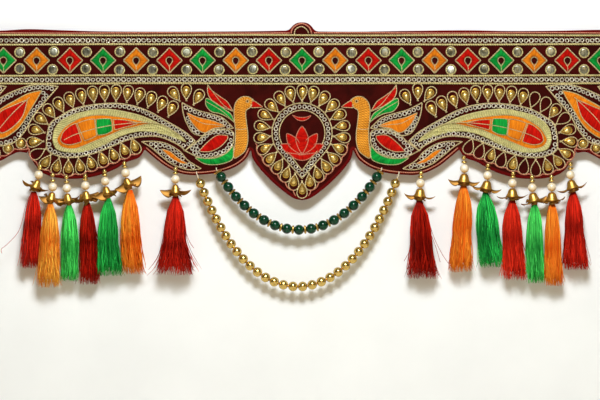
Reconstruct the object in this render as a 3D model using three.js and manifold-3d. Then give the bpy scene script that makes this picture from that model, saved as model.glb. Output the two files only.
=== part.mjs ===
// A toran: an embroidered velvet panel that hangs over a doorway, with two bead swags in its
// middle and fourteen tassels, each under a petal cap and a short string of beads.
// Units are millimetres. +X runs along the door head, +Z is up and -Y faces the viewer.
// The origin is on the panel's back, at the middle of its top edge.

import * as THREE from "three";
import { mergeVertices } from "three/addons/utils/BufferGeometryUtils.js";
import Module from "manifold-3d";

const wasm = await Module();
wasm.setup();

// The panel
const HALF_WIDTH = 457;
const CLOTH = 2.4;
const EMBROIDERY = 1.1;
const SEAT_GAP = 0.3;
const LEAN = 4.5;
const LEAN_START_Z = -50;
const LEAN_HEIGHT = 120;
const LEAN_WAVE = 228;
const END_CORNER = 6;
const GRID_X = 12;
const GRID_Z = [14, LEAN_START_Z, -85, -118, -172];

// The band of diamonds and the two ring bands beside it
const BAND_TOP_Z = -1.6;
const RING_BAND = 10.2;
const DIAMOND_Z = -27.4;
const DIAMOND_HALF = 12.8;
const DIAMOND_PITCH = 33.2;
const DIAMONDS_PER_SIDE = 13;
const LOWER_BAND_TOP_Z = -42.2;
const END_BAND_X = 442;

// Repeated leaves towards the ends, with round stones under them
const LEAF_PITCH = 52;
const LEAVES_PER_SIDE = 3;
const ROUNDS_PER_LEAF = 4;
const FIRST_ROUND_X = 281;
const ROUND_LINE_Z = -116.2;
const ROUND_LINE_SWING = 4.9;
const EDGE_BELOW_ROUNDS = 8.5;

// The drop-shaped stones
const STONE = { length: 11.6, width: 8.2, height: 2.6 };
const ROUND_STONE = { length: 6.4, width: 6.4, height: 2.2 };

// The heart in the middle: a round top that runs to a point below
const HEART = { z: -101, outer: [30, 45], inner: [22.5, 35.5], stones: [39.8, 56.5], count: 24 };

// Outlines of the right half, as [x, z] points of smooth lines. Each starts and ends at a corner.
const TOP_EDGE = [
  [-457, 1.2], [-400, 2], [-340, 1], [-302, 1.6], [-274, 3.1], [-240, 2], [-200, 0.9], [-130, 0.6],
  [-60, 0.9], [-24, 1.5], [-14, 2.2], [-9, 6.8], [-5, 9.2], [0, 9.9], [5, 9.2], [9, 6.6], [14, 1.4],
  [24, 0.7], [60, 0.6], [110, 1.4], [165, 1.9], [210, 1.2], [260, 1.6], [300, 2.4], [350, 1.6],
  [400, 1], [457, 1.6],
];
const HEART_EDGE = [[0, -168.2], [8, -166.4], [18, -159.8], [30, -149.5], [41, -138], [49, -127], [51.2, -117.5]];
const BIRD_EDGE = [
  [51.2, -117.5], [55.5, -126], [63, -132.6], [73, -137.6], [86, -141], [100, -142.6], [112, -143],
  [123, -141], [136, -134.8], [147, -126.5], [157.5, -117.5],
];
const PAISLEY_EDGE = [
  [157.5, -117.5], [163, -125.5], [174.5, -129.8], [187, -137], [200, -142.3], [213, -145.5],
  [226, -146.8], [238, -146.7], [250, -144.8], [260, -140.5], [267, -133], [271.5, -125.5], [275, -119],
];
const NECK = [
  [39.7, -75], [48, -68.5], [56, -63.4], [64, -66.5], [68.2, -77], [67.6, -95], [67.4, -112],
  [68, -126.4], [60.5, -120.5], [54.6, -108], [55, -88], [56, -78.4], [49, -76.2], [39.7, -75],
];
const RED_CREST = [[94.5, -53.2], [89, -60], [79.5, -66.8], [71.5, -74], [69.6, -81.5], [80, -75], [90, -68], [94.5, -53.2]];
const GREEN_CREST = [[69, -91], [71, -83], [82, -74.5], [92, -66.8], [97.5, -69.5], [94, -77.5], [82, -83], [69, -91]];
const UPPER_WING = [
  [68.4, -96], [79, -84.2], [94, -80.2], [106, -77.2], [121.4, -69.8], [120.5, -84], [115, -95],
  [107, -103], [98, -101], [88, -96], [68.4, -96],
];
const LOWER_WING = [
  [68.6, -98.5], [80, -97], [90, -98.4], [102, -106], [117, -119], [100, -126], [86, -126.4], [74, -120],
  [68.6, -98.5],
];
const BELLY = [[68.4, -113.5], [76, -121.5], [90, -126], [104, -127.4], [95, -132.4], [82, -132.6], [68.4, -126.8], [68.4, -113.5]];
const TAIL_LEAF = [
  [160.4, -110.6], [148, -109.4], [135, -111.8], [124, -118.5], [112, -128.5], [98, -135.5],
  [110, -139.6], [124, -137.2], [137, -130.6], [149, -122], [160.4, -110.6],
];
const PAISLEY = [
  [112, -107], [124, -95.4], [140, -86.8], [158, -77.6], [176, -72.6], [194, -71.4], [212, -72.8],
  [232, -78.4], [247, -88.8], [255.4, -102], [255.6, -115], [247, -124.4], [231, -126.6], [214, -123.2],
  [196, -116.6], [180, -109], [164, -104.6], [147, -104.8], [131, -111], [118, -118.6], [112, -107],
];
const LEAF = [
  [244, -54.5], [265, -52.3], [284, -57.3], [302, -66], [313, -76], [319, -90], [316, -104], [308, -112],
  [297, -114.6], [287, -110], [279, -101], [271, -87.5], [258, -70.5], [244, -54.5],
];
// The line on which the paisley's stones sit, from the bird's crest round to the tail
const PAISLEY_STONES = [
  [130.4, -77.3], [152.1, -67.7], [175.1, -62], [198.4, -61.6], [221.6, -65.2], [244, -74.1],
  [261.8, -89.4], [266.9, -110.4], [263.1, -121.9], [254.2, -130.2], [235, -135.5], [212.1, -130.9],
  [189.1, -122.5], [167.4, -113.6],
];
const PAISLEY_STONE_COUNT = 25;
const CREST_STONES = [
  { x: 127.3, z: -62.5, turn: -127 },
  { x: 115.8, z: -60, turn: -90 },
  { x: 104.5, z: -65.5, turn: -60 },
];

// Each tassel: where its thread leaves the panel, its pearl, the cap's tilt and turn in degrees and
// its petals' reach, the tassel's lower end, and how far its locks spread
const TASSELS = [
  { name: "left_1", rootX: -261.6, rootZ: -134.5, pearlX: -263.1, pearlZ: -142.9, tilt: 25, turn: 18, reach: 14.5, endX: -271, endZ: -236, flare: 8, color: "#b5161a" },
  { name: "left_2", rootX: -249.1, rootZ: -143, pearlX: -249.1, pearlZ: -155, tilt: 12, turn: 26, reach: 13.5, endX: -252, endZ: -254, flare: 9.5, color: "#f08a30" },
  { name: "left_3", rootX: -235.3, rootZ: -145, pearlX: -235, pearlZ: -156.3, tilt: -12, turn: 26, reach: 13, endX: -231.5, endZ: -248, flare: 9, color: "#22a048" },
  { name: "left_4", rootX: -216.5, rootZ: -144, pearlX: -216.5, pearlZ: -153.7, tilt: -10, turn: 26, reach: 13, endX: -213, endZ: -251, flare: 8, color: "#8f1216" },
  { name: "left_5", rootX: -197.4, rootZ: -139.6, pearlX: -196.8, pearlZ: -149.3, tilt: -17, turn: 24, reach: 13.5, endX: -192.6, endZ: -242.5, flare: 10.5, color: "#22a048" },
  { name: "left_6", rootX: -177.6, rootZ: -131.4, pearlX: -176.4, pearlZ: -141, tilt: -24, turn: 16, reach: 15, endX: -168, endZ: -239, flare: 10.5, color: "#ee6f22" },
  { name: "left_7", rootX: -126.4, rootZ: -137, pearlX: -126.6, pearlZ: -147.3, tilt: -2, turn: 0, reach: 16, endX: -128, endZ: -240.5, flare: 14, color: "#b5161a" },
  { name: "right_1", rootX: 119, rootZ: -141, pearlX: 118.4, pearlZ: -151.2, tilt: 5, turn: 4, reach: 16, endX: 121, endZ: -245.6, flare: 13, color: "#a01418" },
  { name: "right_2", rootX: 161.8, rootZ: -125.7, pearlX: 162.4, pearlZ: -136.5, tilt: 4, turn: 0, reach: 16, endX: 160, endZ: -237.8, flare: 11, color: "#f07a28" },
  { name: "right_3", rootX: 185.8, rootZ: -133.3, pearlX: 185.4, pearlZ: -143.5, tilt: 10, turn: 12, reach: 16, endX: 187.6, endZ: -234.4, flare: 11, color: "#22904a" },
  { name: "right_4", rootX: 211, rootZ: -141.6, pearlX: 210.2, pearlZ: -151.2, tilt: 0, turn: 20, reach: 16, endX: 211.6, endZ: -247, flare: 11, color: "#d01c20" },
  { name: "right_5", rootX: 230, rootZ: -145.2, pearlX: 230, pearlZ: -155.6, tilt: -13, turn: 24, reach: 14, endX: 234, endZ: -249.2, flare: 8.5, color: "#28b050" },
  { name: "right_6", rootX: 249.3, rootZ: -145, pearlX: 249.5, pearlZ: -155, tilt: -3, turn: 24, reach: 14, endX: 252.6, endZ: -252, flare: 8, color: "#ee6f22" },
  { name: "right_7", rootX: 268.4, rootZ: -132, pearlX: 268.3, pearlZ: -142.9, tilt: -15, turn: 0, reach: 16, endX: 275, endZ: -236.8, flare: 11.5, color: "#b5161a" },
];
const SEED_R = 2;
const PEARL_R = 4.8;
const THREAD_R = 0.6;
const DROP_SIDES = 6;
// dome is the bell's height over the petals, skirt its radius there and foot its depth under them.
// width and thick are a petal's, squash is how flat the four petals hang against the door.
const CAP = { dome: 8.5, skirt: 5.2, foot: 4, petals: 4, width: 9, thick: 0.8, squash: 0.55 };
const HEAD_R = 3.4;
const HEAD_HEIGHT = 9;
const LOCKS = { outer: 7, inner: 3, sides: 3 };

// The two swags, each hung between two points of the panel
const GREEN_SWAG = { leftX: -85.6, rightX: 79.6, endZ: -137.4, sag: 60.4, beadR: 5, spacerR: 3.4, beads: 17 };
const GOLD_SWAG = { leftX: -105.4, rightX: 97, endZ: -141.4, sag: 113.2, beadR: 4.25, spacerR: 1.3, beads: 32 };
const SWAG_SIDES = 6;
const SWAG_ROOT_RISE = 1.8;
const THREAD_LEAD = 3;

// How far the cloth's face leans out from the door at x, z: nothing down to the lower ring band,
// then more towards the lower edge, a little unevenly along the length
function lean(x, z) {
  const down = Math.max(0, (LEAN_START_Z - z) / LEAN_HEIGHT);
  return -LEAN * down * down * (0.7 + 0.3 * Math.cos((2 * Math.PI * x) / LEAN_WAVE));
}

// Points of a smooth line through [x, z] points, with perSpan steps between each two
function smooth(points, perSpan) {
  const curve = new THREE.SplineCurve(points.map(([x, z]) => new THREE.Vector2(x, z)));
  return curve.getPoints((points.length - 1) * perSpan);
}

const mirrored = (points) => points.map(([x, z]) => [-x, z]);

// A round that runs to a point below: an arc of radius r, then two tangents to the point
function teardrop([r, tipBelow], steps, centreZ = 0) {
  const from = Math.acos(r / tipBelow);
  const points = [new THREE.Vector2(0, centreZ - tipBelow)];
  for (let i = 0; i <= steps; i++) {
    const a = from + ((2 * Math.PI - 2 * from) * i) / steps;
    points.push(new THREE.Vector2(r * Math.sin(a), centreZ - r * Math.cos(a)));
  }
  return points;
}

// The closed solid of a geometry, whose vertices are merged by their place
function solid(geometry) {
  const bare = new THREE.BufferGeometry();
  const flat = geometry.index ? geometry.toNonIndexed() : geometry;
  bare.setAttribute("position", flat.getAttribute("position"));
  const merged = mergeVertices(bare, 1e-4);
  const mesh = new wasm.Mesh({
    numProp: 3,
    vertProperties: new Float32Array(merged.attributes.position.array),
    triVerts: new Uint32Array(merged.index.array),
  });
  return new wasm.Manifold(mesh);
}

function geometryOf(manifold) {
  const mesh = manifold.getMesh();
  const geometry = new THREE.BufferGeometry();
  geometry.setAttribute("position", new THREE.BufferAttribute(mesh.vertProperties, 3));
  geometry.setIndex(new THREE.BufferAttribute(mesh.triVerts, 1));
  return geometry;
}

// How far a solid moves in a direction, in steps of the gap, until it clears another by SEAT_GAP
function seat(moving, fixed, [dx, dy, dz]) {
  let [near, far] = [0, 16];
  for (let i = 0; i < 14; i++) {
    const way = (near + far) / 2;
    const gap = moving.translate([dx * way, dy * way, dz * way]).minGap(fixed, 2 * SEAT_GAP);
    if (gap < SEAT_GAP) near = way;
    else far = way;
  }
  return moving.translate([dx * far, dy * far, dz * far]);
}

// A flat outline in x and z, made thick in y from backY towards the viewer
function prism(outline, backY, thickness) {
  const geometry = new THREE.ExtrudeGeometry(new THREE.Shape(outline), { depth: thickness, bevelEnabled: false });
  return solid(geometry.rotateX(Math.PI / 2).translate(0, backY, 0));
}

// A solid of revolution about the z axis from a profile of [radius, z] points, the lowest first
function lathed(profile, sides) {
  const geometry = new THREE.LatheGeometry(profile.map(([r, z]) => new THREE.Vector2(r, z)), sides);
  return solid(geometry.rotateX(Math.PI / 2));
}

// A closed surface from rings of the same number of points: end caps are fans about a point
function ringsSolid(rings, start, end) {
  const sides = rings[0].length;
  const position = [...rings.flat(), start, end].flatMap((p) => [p.x, p.y, p.z]);
  const index = [];
  for (let i = 0; i + 1 < rings.length; i++) {
    for (let j = 0; j < sides; j++) {
      const a = i * sides + j;
      const b = i * sides + ((j + 1) % sides);
      index.push(a, b, a + sides, b, b + sides, a + sides);
    }
  }
  const first = rings.length * sides;
  for (let j = 0; j < sides; j++) {
    const k = (j + 1) % sides;
    index.push(first, k, j);
    index.push(first + 1, first - sides + j, first - sides + k);
  }
  const geometry = new THREE.BufferGeometry();
  geometry.setAttribute("position", new THREE.Float32BufferAttribute(position, 3));
  geometry.setIndex(index);
  const made = solid(geometry);
  if (made.volume() > 0) return made;
  for (let i = 0; i < index.length; i += 3) [index[i + 1], index[i + 2]] = [index[i + 2], index[i + 1]];
  geometry.setIndex(index);
  return solid(geometry);
}

// A slab over the whole panel that follows the lean, between two distances from the panel's back
function leaningSlab(near, far) {
  const xs = Array.from({ length: GRID_X + 1 }, (_, i) => -HALF_WIDTH - 10 + ((2 * HALF_WIDTH + 20) * i) / GRID_X);
  const position = [];
  const index = [];
  const rows = GRID_Z.length;
  const at = (side, i, k) => (side * (GRID_X + 1) + i) * rows + k;
  for (const depth of [near, far]) {
    for (const x of xs) for (const z of GRID_Z) position.push(x, lean(x, z) - depth, z);
  }
  const quad = (a, b, c, d) => index.push(a, b, c, a, c, d);
  for (let i = 0; i < GRID_X; i++) {
    for (let k = 0; k + 1 < rows; k++) {
      quad(at(0, i, k), at(0, i, k + 1), at(0, i + 1, k + 1), at(0, i + 1, k));
      quad(at(1, i, k), at(1, i + 1, k), at(1, i + 1, k + 1), at(1, i, k + 1));
    }
    quad(at(0, i, 0), at(0, i + 1, 0), at(1, i + 1, 0), at(1, i, 0));
    quad(at(0, i, rows - 1), at(1, i, rows - 1), at(1, i + 1, rows - 1), at(0, i + 1, rows - 1));
  }
  for (let k = 0; k + 1 < rows; k++) {
    quad(at(0, 0, k), at(1, 0, k), at(1, 0, k + 1), at(0, 0, k + 1));
    quad(at(0, GRID_X, k), at(0, GRID_X, k + 1), at(1, GRID_X, k + 1), at(1, GRID_X, k));
  }
  const geometry = new THREE.BufferGeometry();
  geometry.setAttribute("position", new THREE.Float32BufferAttribute(position, 3));
  geometry.setIndex(index);
  let made = solid(geometry);
  if (made.volume() < 0) {
    for (let i = 0; i < index.length; i += 3) [index[i + 1], index[i + 2]] = [index[i + 2], index[i + 1]];
    geometry.setIndex(index);
    made = solid(geometry);
  }
  return made;
}

const roundsLineZ = (x) =>
  ROUND_LINE_Z + ROUND_LINE_SWING * Math.cos((2 * Math.PI * (x - FIRST_ROUND_X)) / LEAF_PITCH);

// The panel's cut edge, from the top left round to the bottom middle and back up
function panelOutline() {
  const endEdge = [];
  for (let x = PAISLEY_EDGE.at(-1)[0]; x < HALF_WIDTH - END_CORNER; x += LEAF_PITCH / 6) {
    endEdge.push([x, roundsLineZ(x) - EDGE_BELOW_ROUNDS]);
  }
  const lowZ = endEdge.at(-1)[1];
  endEdge.push([HALF_WIDTH - 0.3 * END_CORNER, lowZ + 0.3 * END_CORNER], [HALF_WIDTH, lowZ + END_CORNER]);
  const half = [HEART_EDGE, BIRD_EDGE, PAISLEY_EDGE, endEdge].flatMap((part) =>
    smooth(part, 2).slice(0, -1),
  );
  half.push(new THREE.Vector2(...endEdge.at(-1)));
  const left = half.slice(1).map((p) => new THREE.Vector2(-p.x, p.y));
  const top = smooth(TOP_EDGE, 1);
  return [...top, ...half.reverse(), ...left];
}

// Stones along a line of [x, z] points: count of them at even steps, each turned so that its
// point lies on the line's left, or on its right where side is -1
function stonesAlong(line, count, side) {
  const curve = new THREE.SplineCurve(line.map(([x, z]) => new THREE.Vector2(x, z)));
  return Array.from({ length: count }, (_, i) => {
    const t = i / (count - 1);
    const at = curve.getPointAt(t);
    const along = curve.getTangentAt(t);
    return { x: at.x, z: at.y, angle: Math.atan2(side * along.x, -side * along.y) };
  });
}

// Stones round the heart at even steps of its outline, with their points to the middle
function heartStones() {
  const line = teardrop(HEART.stones, 40, HEART.z).map((p) => [p.x, p.y]);
  const closed = new THREE.CatmullRomCurve3(line.map(([x, z]) => new THREE.Vector3(x, 0, z)), true, "chordal");
  closed.arcLengthDivisions = 800;
  return Array.from({ length: HEART.count }, (_, i) => {
    const at = closed.getPointAt(i / HEART.count);
    const below = Math.max(0, (HEART.z - at.z) / HEART.stones[1]);
    return { x: at.x, z: at.z, angle: Math.atan2(HEART.z + 12 * below - at.z, -at.x) };
  });
}

// A faceted stone with a pointed end, standing on the cloth. angle is where its point lies.
function stone({ x, z, angle }, size) {
  const r = size.width / 2;
  const back = size.length / 2 - r;
  const flank = [[1, 0], [0.05, 0.94], [-0.9, 0.6], [-0.9, -0.6], [0.05, -0.94]];
  const faceY = lean(x, z) - CLOTH;
  const ring = (share, out) =>
    flank.map(([along, across]) => {
      const a = (along > 0.9 ? size.length / 2 : along * (r + back)) * share;
      const b = across * r * share;
      const [c, s] = [Math.cos(angle), Math.sin(angle)];
      return new THREE.Vector3(x + a * c - b * s, faceY - out, z + a * s + b * c);
    });
  const centre = (out) => new THREE.Vector3(x, faceY - out, z);
  return ringsSolid([ring(1, -0.6), ring(0.96, 0.9)], centre(-0.6), centre(size.height));
}

function embroideredPanel() {
  const raised = [];
  const add = (outline) => raised.push(prism(outline, 40, 80));
  const rectangle = (x0, z0, x1, z1) => [[x0, z0], [x1, z0], [x1, z1], [x0, z1]].map(([x, z]) => new THREE.Vector2(x, z));
  for (const z of [BAND_TOP_Z, LOWER_BAND_TOP_Z]) add(rectangle(-END_BAND_X, z - RING_BAND, END_BAND_X, z));
  for (const side of [-1, 1]) {
    add(rectangle(side * END_BAND_X, -118, side * (END_BAND_X + RING_BAND), BAND_TOP_Z));
  }
  for (let i = -DIAMONDS_PER_SIDE + 1; i < DIAMONDS_PER_SIDE; i++) {
    const h = DIAMOND_HALF;
    const x = i * DIAMOND_PITCH;
    add([[x - h, DIAMOND_Z], [x, DIAMOND_Z - h], [x + h, DIAMOND_Z], [x, DIAMOND_Z + h]].map((p) => new THREE.Vector2(...p)));
  }
  const motifs = [NECK, RED_CREST, GREEN_CREST, UPPER_WING, LOWER_WING, BELLY, TAIL_LEAF, PAISLEY];
  for (let i = 0; i < LEAVES_PER_SIDE; i++) motifs.push(LEAF.map(([x, z]) => [x + i * LEAF_PITCH, z]));
  for (const motif of motifs) {
    for (const half of [motif, mirrored(motif)]) {
      add(smooth(half, 1).slice(0, -1));
    }
  }
  const heartRing = prism(teardrop(HEART.outer, 16, HEART.z), 40, 80).subtract(
    prism(teardrop(HEART.inner, 12, HEART.z), 50, 100),
  );
  raised.push(heartRing);
  const relief = wasm.Manifold.union(raised).intersect(leaningSlab(CLOTH - 0.8, CLOTH + EMBROIDERY));
  const cloth = prism(panelOutline(), 40, 80).intersect(leaningSlab(0, CLOTH));

  const stones = heartStones().map((place) => stone(place, STONE));
  const half = stonesAlong(PAISLEY_STONES, PAISLEY_STONE_COUNT, -1);
  for (const { x, z, turn } of CREST_STONES) half.push({ x, z, angle: (turn * Math.PI) / 180 });
  for (const { x, z, angle } of half) {
    stones.push(stone({ x, z, angle }, STONE), stone({ x: -x, z, angle: Math.PI - angle }, STONE));
  }
  for (let i = 0; i < LEAVES_PER_SIDE * ROUNDS_PER_LEAF; i++) {
    const x = FIRST_ROUND_X + (i * LEAF_PITCH) / ROUNDS_PER_LEAF;
    for (const side of [-1, 1]) stones.push(stone({ x: side * x, z: roundsLineZ(x), angle: -Math.PI / 2 }, ROUND_STONE));
  }
  return wasm.Manifold.union([cloth, relief, ...stones]);
}

// A string of beads from the cloth down to the cap, in the plane y = 0: a seed, a waist, a pearl
function beadString({ rootX, rootZ, pearlX, pearlZ }) {
  const levels = [
    [rootZ + SEED_R, THREAD_R],
    [rootZ + 0.5 * SEED_R, 0.9 * SEED_R],
    [rootZ - 0.5 * SEED_R, 0.9 * SEED_R],
    [pearlZ + PEARL_R, 1.6 * THREAD_R],
    [pearlZ + 0.5 * PEARL_R, 0.87 * PEARL_R],
    [pearlZ, PEARL_R],
    [pearlZ - 0.5 * PEARL_R, 0.87 * PEARL_R],
    [pearlZ - 0.93 * PEARL_R, 0.4 * PEARL_R],
  ];
  const at = (z) => new THREE.Vector3(rootX + ((pearlX - rootX) * (rootZ - z)) / (rootZ - pearlZ), 0, z);
  const rings = levels.map(([z, r]) => {
    const c = at(z);
    return Array.from({ length: DROP_SIDES }, (_, j) => {
      const a = (2 * Math.PI * (j + 0.5)) / DROP_SIDES;
      return new THREE.Vector3(c.x + r * Math.cos(a), r * Math.sin(a), z);
    });
  });
  return ringsSolid(rings, at(levels[0][0] + 0.6), at(pearlZ - PEARL_R));
}

// A stamped petal: a pointed leaf that dips from the bell's skirt and turns up at its tip
function petal(turn, reach) {
  const stations = [[0, 0.5], [0.5, 1]];
  const root = 0.75 * CAP.skirt;
  const place = (u) => [root + u * (reach - root), 1.5 - 10.7 * u + 10.5 * u * u];
  const turned = (out, across, up) =>
    new THREE.Vector3(
      out * Math.cos(turn) - across * Math.sin(turn),
      CAP.squash * (out * Math.sin(turn) + across * Math.cos(turn)),
      up,
    );
  const rings = stations.map(([u, share]) => {
    const [out, up] = place(u);
    const w = (CAP.width / 2) * share;
    const h = CAP.thick / 2;
    return [[-w, 0.5], [0, h], [w, 0.5], [0, -h]].map(([across, rise]) => turned(out, across, up + rise));
  });
  const [tipOut, tipUp] = place(1);
  const [rootOut, rootUp] = place(0);
  return ringsSolid(rings, turned(rootOut - 0.2, 0, rootUp), turned(tipOut, 0, tipUp));
}

// The petal cap: a small bell with petals that spread from its skirt, tilted about the bell's top,
// which is the origin
function petalCap({ turn, tilt, reach }) {
  const { dome, skirt, foot } = CAP;
  const profile = [
    [0, -foot], [0.55 * skirt, -foot], [1.1 * skirt, -0.2], [skirt, 0.25 * dome], [0.88 * skirt, 0.65 * dome],
    [0.35 * skirt, dome], [0, dome],
  ];
  const petals = Array.from({ length: CAP.petals }, (_, k) =>
    petal((turn * Math.PI) / 180 + (2 * Math.PI * k) / CAP.petals, reach),
  );
  return wasm.Manifold.union([lathed(profile, 8), ...petals]).translate([0, 0, -dome]).rotate([0, tilt, 0]);
}

// A tassel: a bound head, and locks of thread that hang apart below it, from topX, topZ
function tassel({ endX, endZ, flare }, topX, topZ) {
  const length = topZ - endZ;
  const sway = endX - topX;
  const profile = [[0, -HEAD_HEIGHT], [HEAD_R * 1.5, -HEAD_HEIGHT], [HEAD_R, -HEAD_HEIGHT * 0.5], [HEAD_R * 0.75, 0], [0, 0]];
  const locks = [];
  for (const [count, share, shorter] of [[LOCKS.outer, 1, 3], [LOCKS.inner, 0.4, 0]]) {
    for (let i = 0; i < count; i++) {
      const a = (2 * Math.PI * (i + 0.25)) / count;
      const end = -length + shorter * (1 + Math.cos(2.4 * i));
      // [height, distance from the middle, lock radius]
      const stations = [[-HEAD_HEIGHT + 1.5, HEAD_R, 1.1], [-length * 0.45, flare * 0.72, 1.8], [end, flare * 0.9, 1.3]];
      const rings = stations.map(([z, out, r]) => {
        const x = sway * (z / length) ** 2 + share * out * Math.cos(a);
        const y = 0.8 * share * out * Math.sin(a);
        return Array.from({ length: LOCKS.sides }, (_, j) => {
          const b = a + (2 * Math.PI * j) / LOCKS.sides;
          return new THREE.Vector3(x + r * Math.cos(b), y + r * Math.sin(b), z);
        });
      });
      const middle = (ring) => ring.reduce((sum, p) => sum.add(p), new THREE.Vector3()).divideScalar(ring.length);
      locks.push(ringsSolid(rings, middle(rings[0]), middle(rings.at(-1))));
    }
  }
  return wasm.Manifold.union([lathed(profile, 7), ...locks]).translate([topX, 0, topZ]);
}

// The parameter a of the catenary z = a cosh(x / a) with this half span and sag
function catenary(halfSpan, sag) {
  let [low, high] = [halfSpan / 20, halfSpan * 20];
  for (let i = 0; i < 80; i++) {
    const a = (low + high) / 2;
    if (a * (Math.cosh(halfSpan / a) - 1) > sag) low = a;
    else high = a;
  }
  return (low + high) / 2;
}

// A swag of beads on a thread: the thread leaves the cloth at both ends and hangs as a catenary,
// and the radius along it follows the beads and the spacers between them
function swag({ leftX, rightX, endZ, sag, beadR, spacerR, beads }) {
  const halfSpan = (rightX - leftX) / 2;
  const middle = (rightX + leftX) / 2;
  const a = catenary(halfSpan, sag);
  const arc = a * Math.sinh(halfSpan / a);
  const at = (s) => {
    const x = a * Math.asinh(s / a);
    return new THREE.Vector3(middle + x, 0, endZ - sag + a * (Math.cosh(x / a) - 1));
  };
  const pitch = (2 * arc - 2 * THREAD_LEAD) / beads;
  const stations = [[-arc, THREAD_R]];
  for (let i = 0; i < beads; i++) {
    const s = -arc + THREAD_LEAD + (i + 0.5) * pitch;
    stations.push([s - pitch / 2 + 0.2, spacerR], [s - beadR * 0.5, beadR * 0.9], [s + beadR * 0.5, beadR * 0.9]);
  }
  stations.push([arc - THREAD_LEAD, spacerR], [arc, THREAD_R]);
  const rings = stations.map(([s, r]) => {
    const c = at(s);
    const x = a * Math.asinh(s / a);
    const across = new THREE.Vector3(-Math.sinh(x / a), 0, 1).normalize();
    const out = new THREE.Vector3(0, 1, 0);
    return Array.from({ length: SWAG_SIDES }, (_, j) => {
      const b = (2 * Math.PI * (j + 0.5)) / SWAG_SIDES;
      return c.clone().addScaledVector(across, r * Math.sin(b)).addScaledVector(out, r * Math.cos(b));
    });
  });
  const root = (x) => new THREE.Vector3(x, 0, endZ + SWAG_ROOT_RISE);
  return ringsSolid(rings, root(leftX), root(rightX));
}

const toran = new THREE.Group();

function addNode(name, manifold, color, roughness, metalness) {
  const material = new THREE.MeshStandardMaterial({ color, roughness, metalness });
  const mesh = new THREE.Mesh(geometryOf(manifold), material);
  mesh.name = name;
  toran.add(mesh);
}

const FORWARD = [0, -1, 0];
const DOWN = [0, 0, -1];
const panel = embroideredPanel();
addNode("velvet_panel", panel, "#3d070b", 0.95, 0);
addNode("green_swag", seat(swag(GREEN_SWAG), panel, FORWARD), "#0a4a30", 0.3, 0);
addNode("gold_swag", seat(swag(GOLD_SWAG), panel, FORWARD), "#c79a3c", 0.3, 0.8);
for (const row of TASSELS) {
  const beads = seat(beadString(row), panel, FORWARD);
  const { min, max } = beads.boundingBox();
  const y = (min[1] + max[1]) / 2;
  const cap = seat(petalCap(row).translate([row.pearlX, y, row.pearlZ - PEARL_R + 2]), beads, DOWN);
  const tilt = (row.tilt * Math.PI) / 180;
  const drop = CAP.dome + CAP.foot;
  const topX = row.pearlX - drop * Math.sin(tilt);
  const topZ = row.pearlZ - PEARL_R - drop * Math.cos(tilt);
  const silk = seat(tassel(row, topX, topZ).translate([0, y, 2]), cap, DOWN);
  addNode(`beads_${row.name}`, beads, "#f1e7cf", 0.25, 0);
  addNode(`cap_${row.name}`, cap, "#b98a3a", 0.35, 0.8);
  addNode(`tassel_${row.name}`, silk, row.color, 0.6, 0);
}

export default toran;
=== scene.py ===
import math
from collections import namedtuple

import bpy
import numpy as np
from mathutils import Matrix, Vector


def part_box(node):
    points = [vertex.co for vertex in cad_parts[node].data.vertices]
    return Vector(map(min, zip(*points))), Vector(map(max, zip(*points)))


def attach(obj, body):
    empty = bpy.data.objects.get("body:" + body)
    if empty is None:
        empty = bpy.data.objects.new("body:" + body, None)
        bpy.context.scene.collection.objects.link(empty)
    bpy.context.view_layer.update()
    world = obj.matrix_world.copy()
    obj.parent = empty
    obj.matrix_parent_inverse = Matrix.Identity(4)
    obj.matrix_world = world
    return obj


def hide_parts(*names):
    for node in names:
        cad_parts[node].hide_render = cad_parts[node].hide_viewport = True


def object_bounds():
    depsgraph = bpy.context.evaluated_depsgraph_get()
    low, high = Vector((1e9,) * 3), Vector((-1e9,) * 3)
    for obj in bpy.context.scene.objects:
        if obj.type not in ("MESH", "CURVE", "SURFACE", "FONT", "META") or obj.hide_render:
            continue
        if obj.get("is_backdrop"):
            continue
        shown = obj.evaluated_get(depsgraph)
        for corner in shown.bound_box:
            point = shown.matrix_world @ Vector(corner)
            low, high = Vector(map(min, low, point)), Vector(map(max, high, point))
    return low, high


# The looks of a velvet toran: embroidery in metal thread, satin stitch, mirrors and set stones,
# bead swags, bead strings, petal caps and silk tassels. Sizes are millimetres, in the frame of the
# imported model, unless a comment says metres.

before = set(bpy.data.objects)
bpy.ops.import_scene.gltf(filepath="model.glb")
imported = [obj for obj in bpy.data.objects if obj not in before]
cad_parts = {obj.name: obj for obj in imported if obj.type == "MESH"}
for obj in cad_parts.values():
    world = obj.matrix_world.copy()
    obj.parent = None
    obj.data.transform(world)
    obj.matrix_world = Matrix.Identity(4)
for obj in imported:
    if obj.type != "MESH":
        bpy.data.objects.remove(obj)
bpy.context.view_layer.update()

MM = 0.001
# UV units in a millimetre
UV_MM = 0.01
TURN = 2 * math.pi
random = np.random.default_rng(27)
FRONT = np.array([0.0, -1.0, 0.0])

# The panel: its half width, its thickness, and the width of its margin, painted brighter for the light its
# open pile catches
HALF_WIDTH, CLOTH, MARGIN = 457.0, 2.4, 3.4
# How far the cloth leans out, where that starts, over which height, and the length of its slow wave
LEAN, LEAN_START_Z, LEAN_HEIGHT, LEAN_WAVE = 4.5, -50.0, 120.0, 228.0

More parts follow.
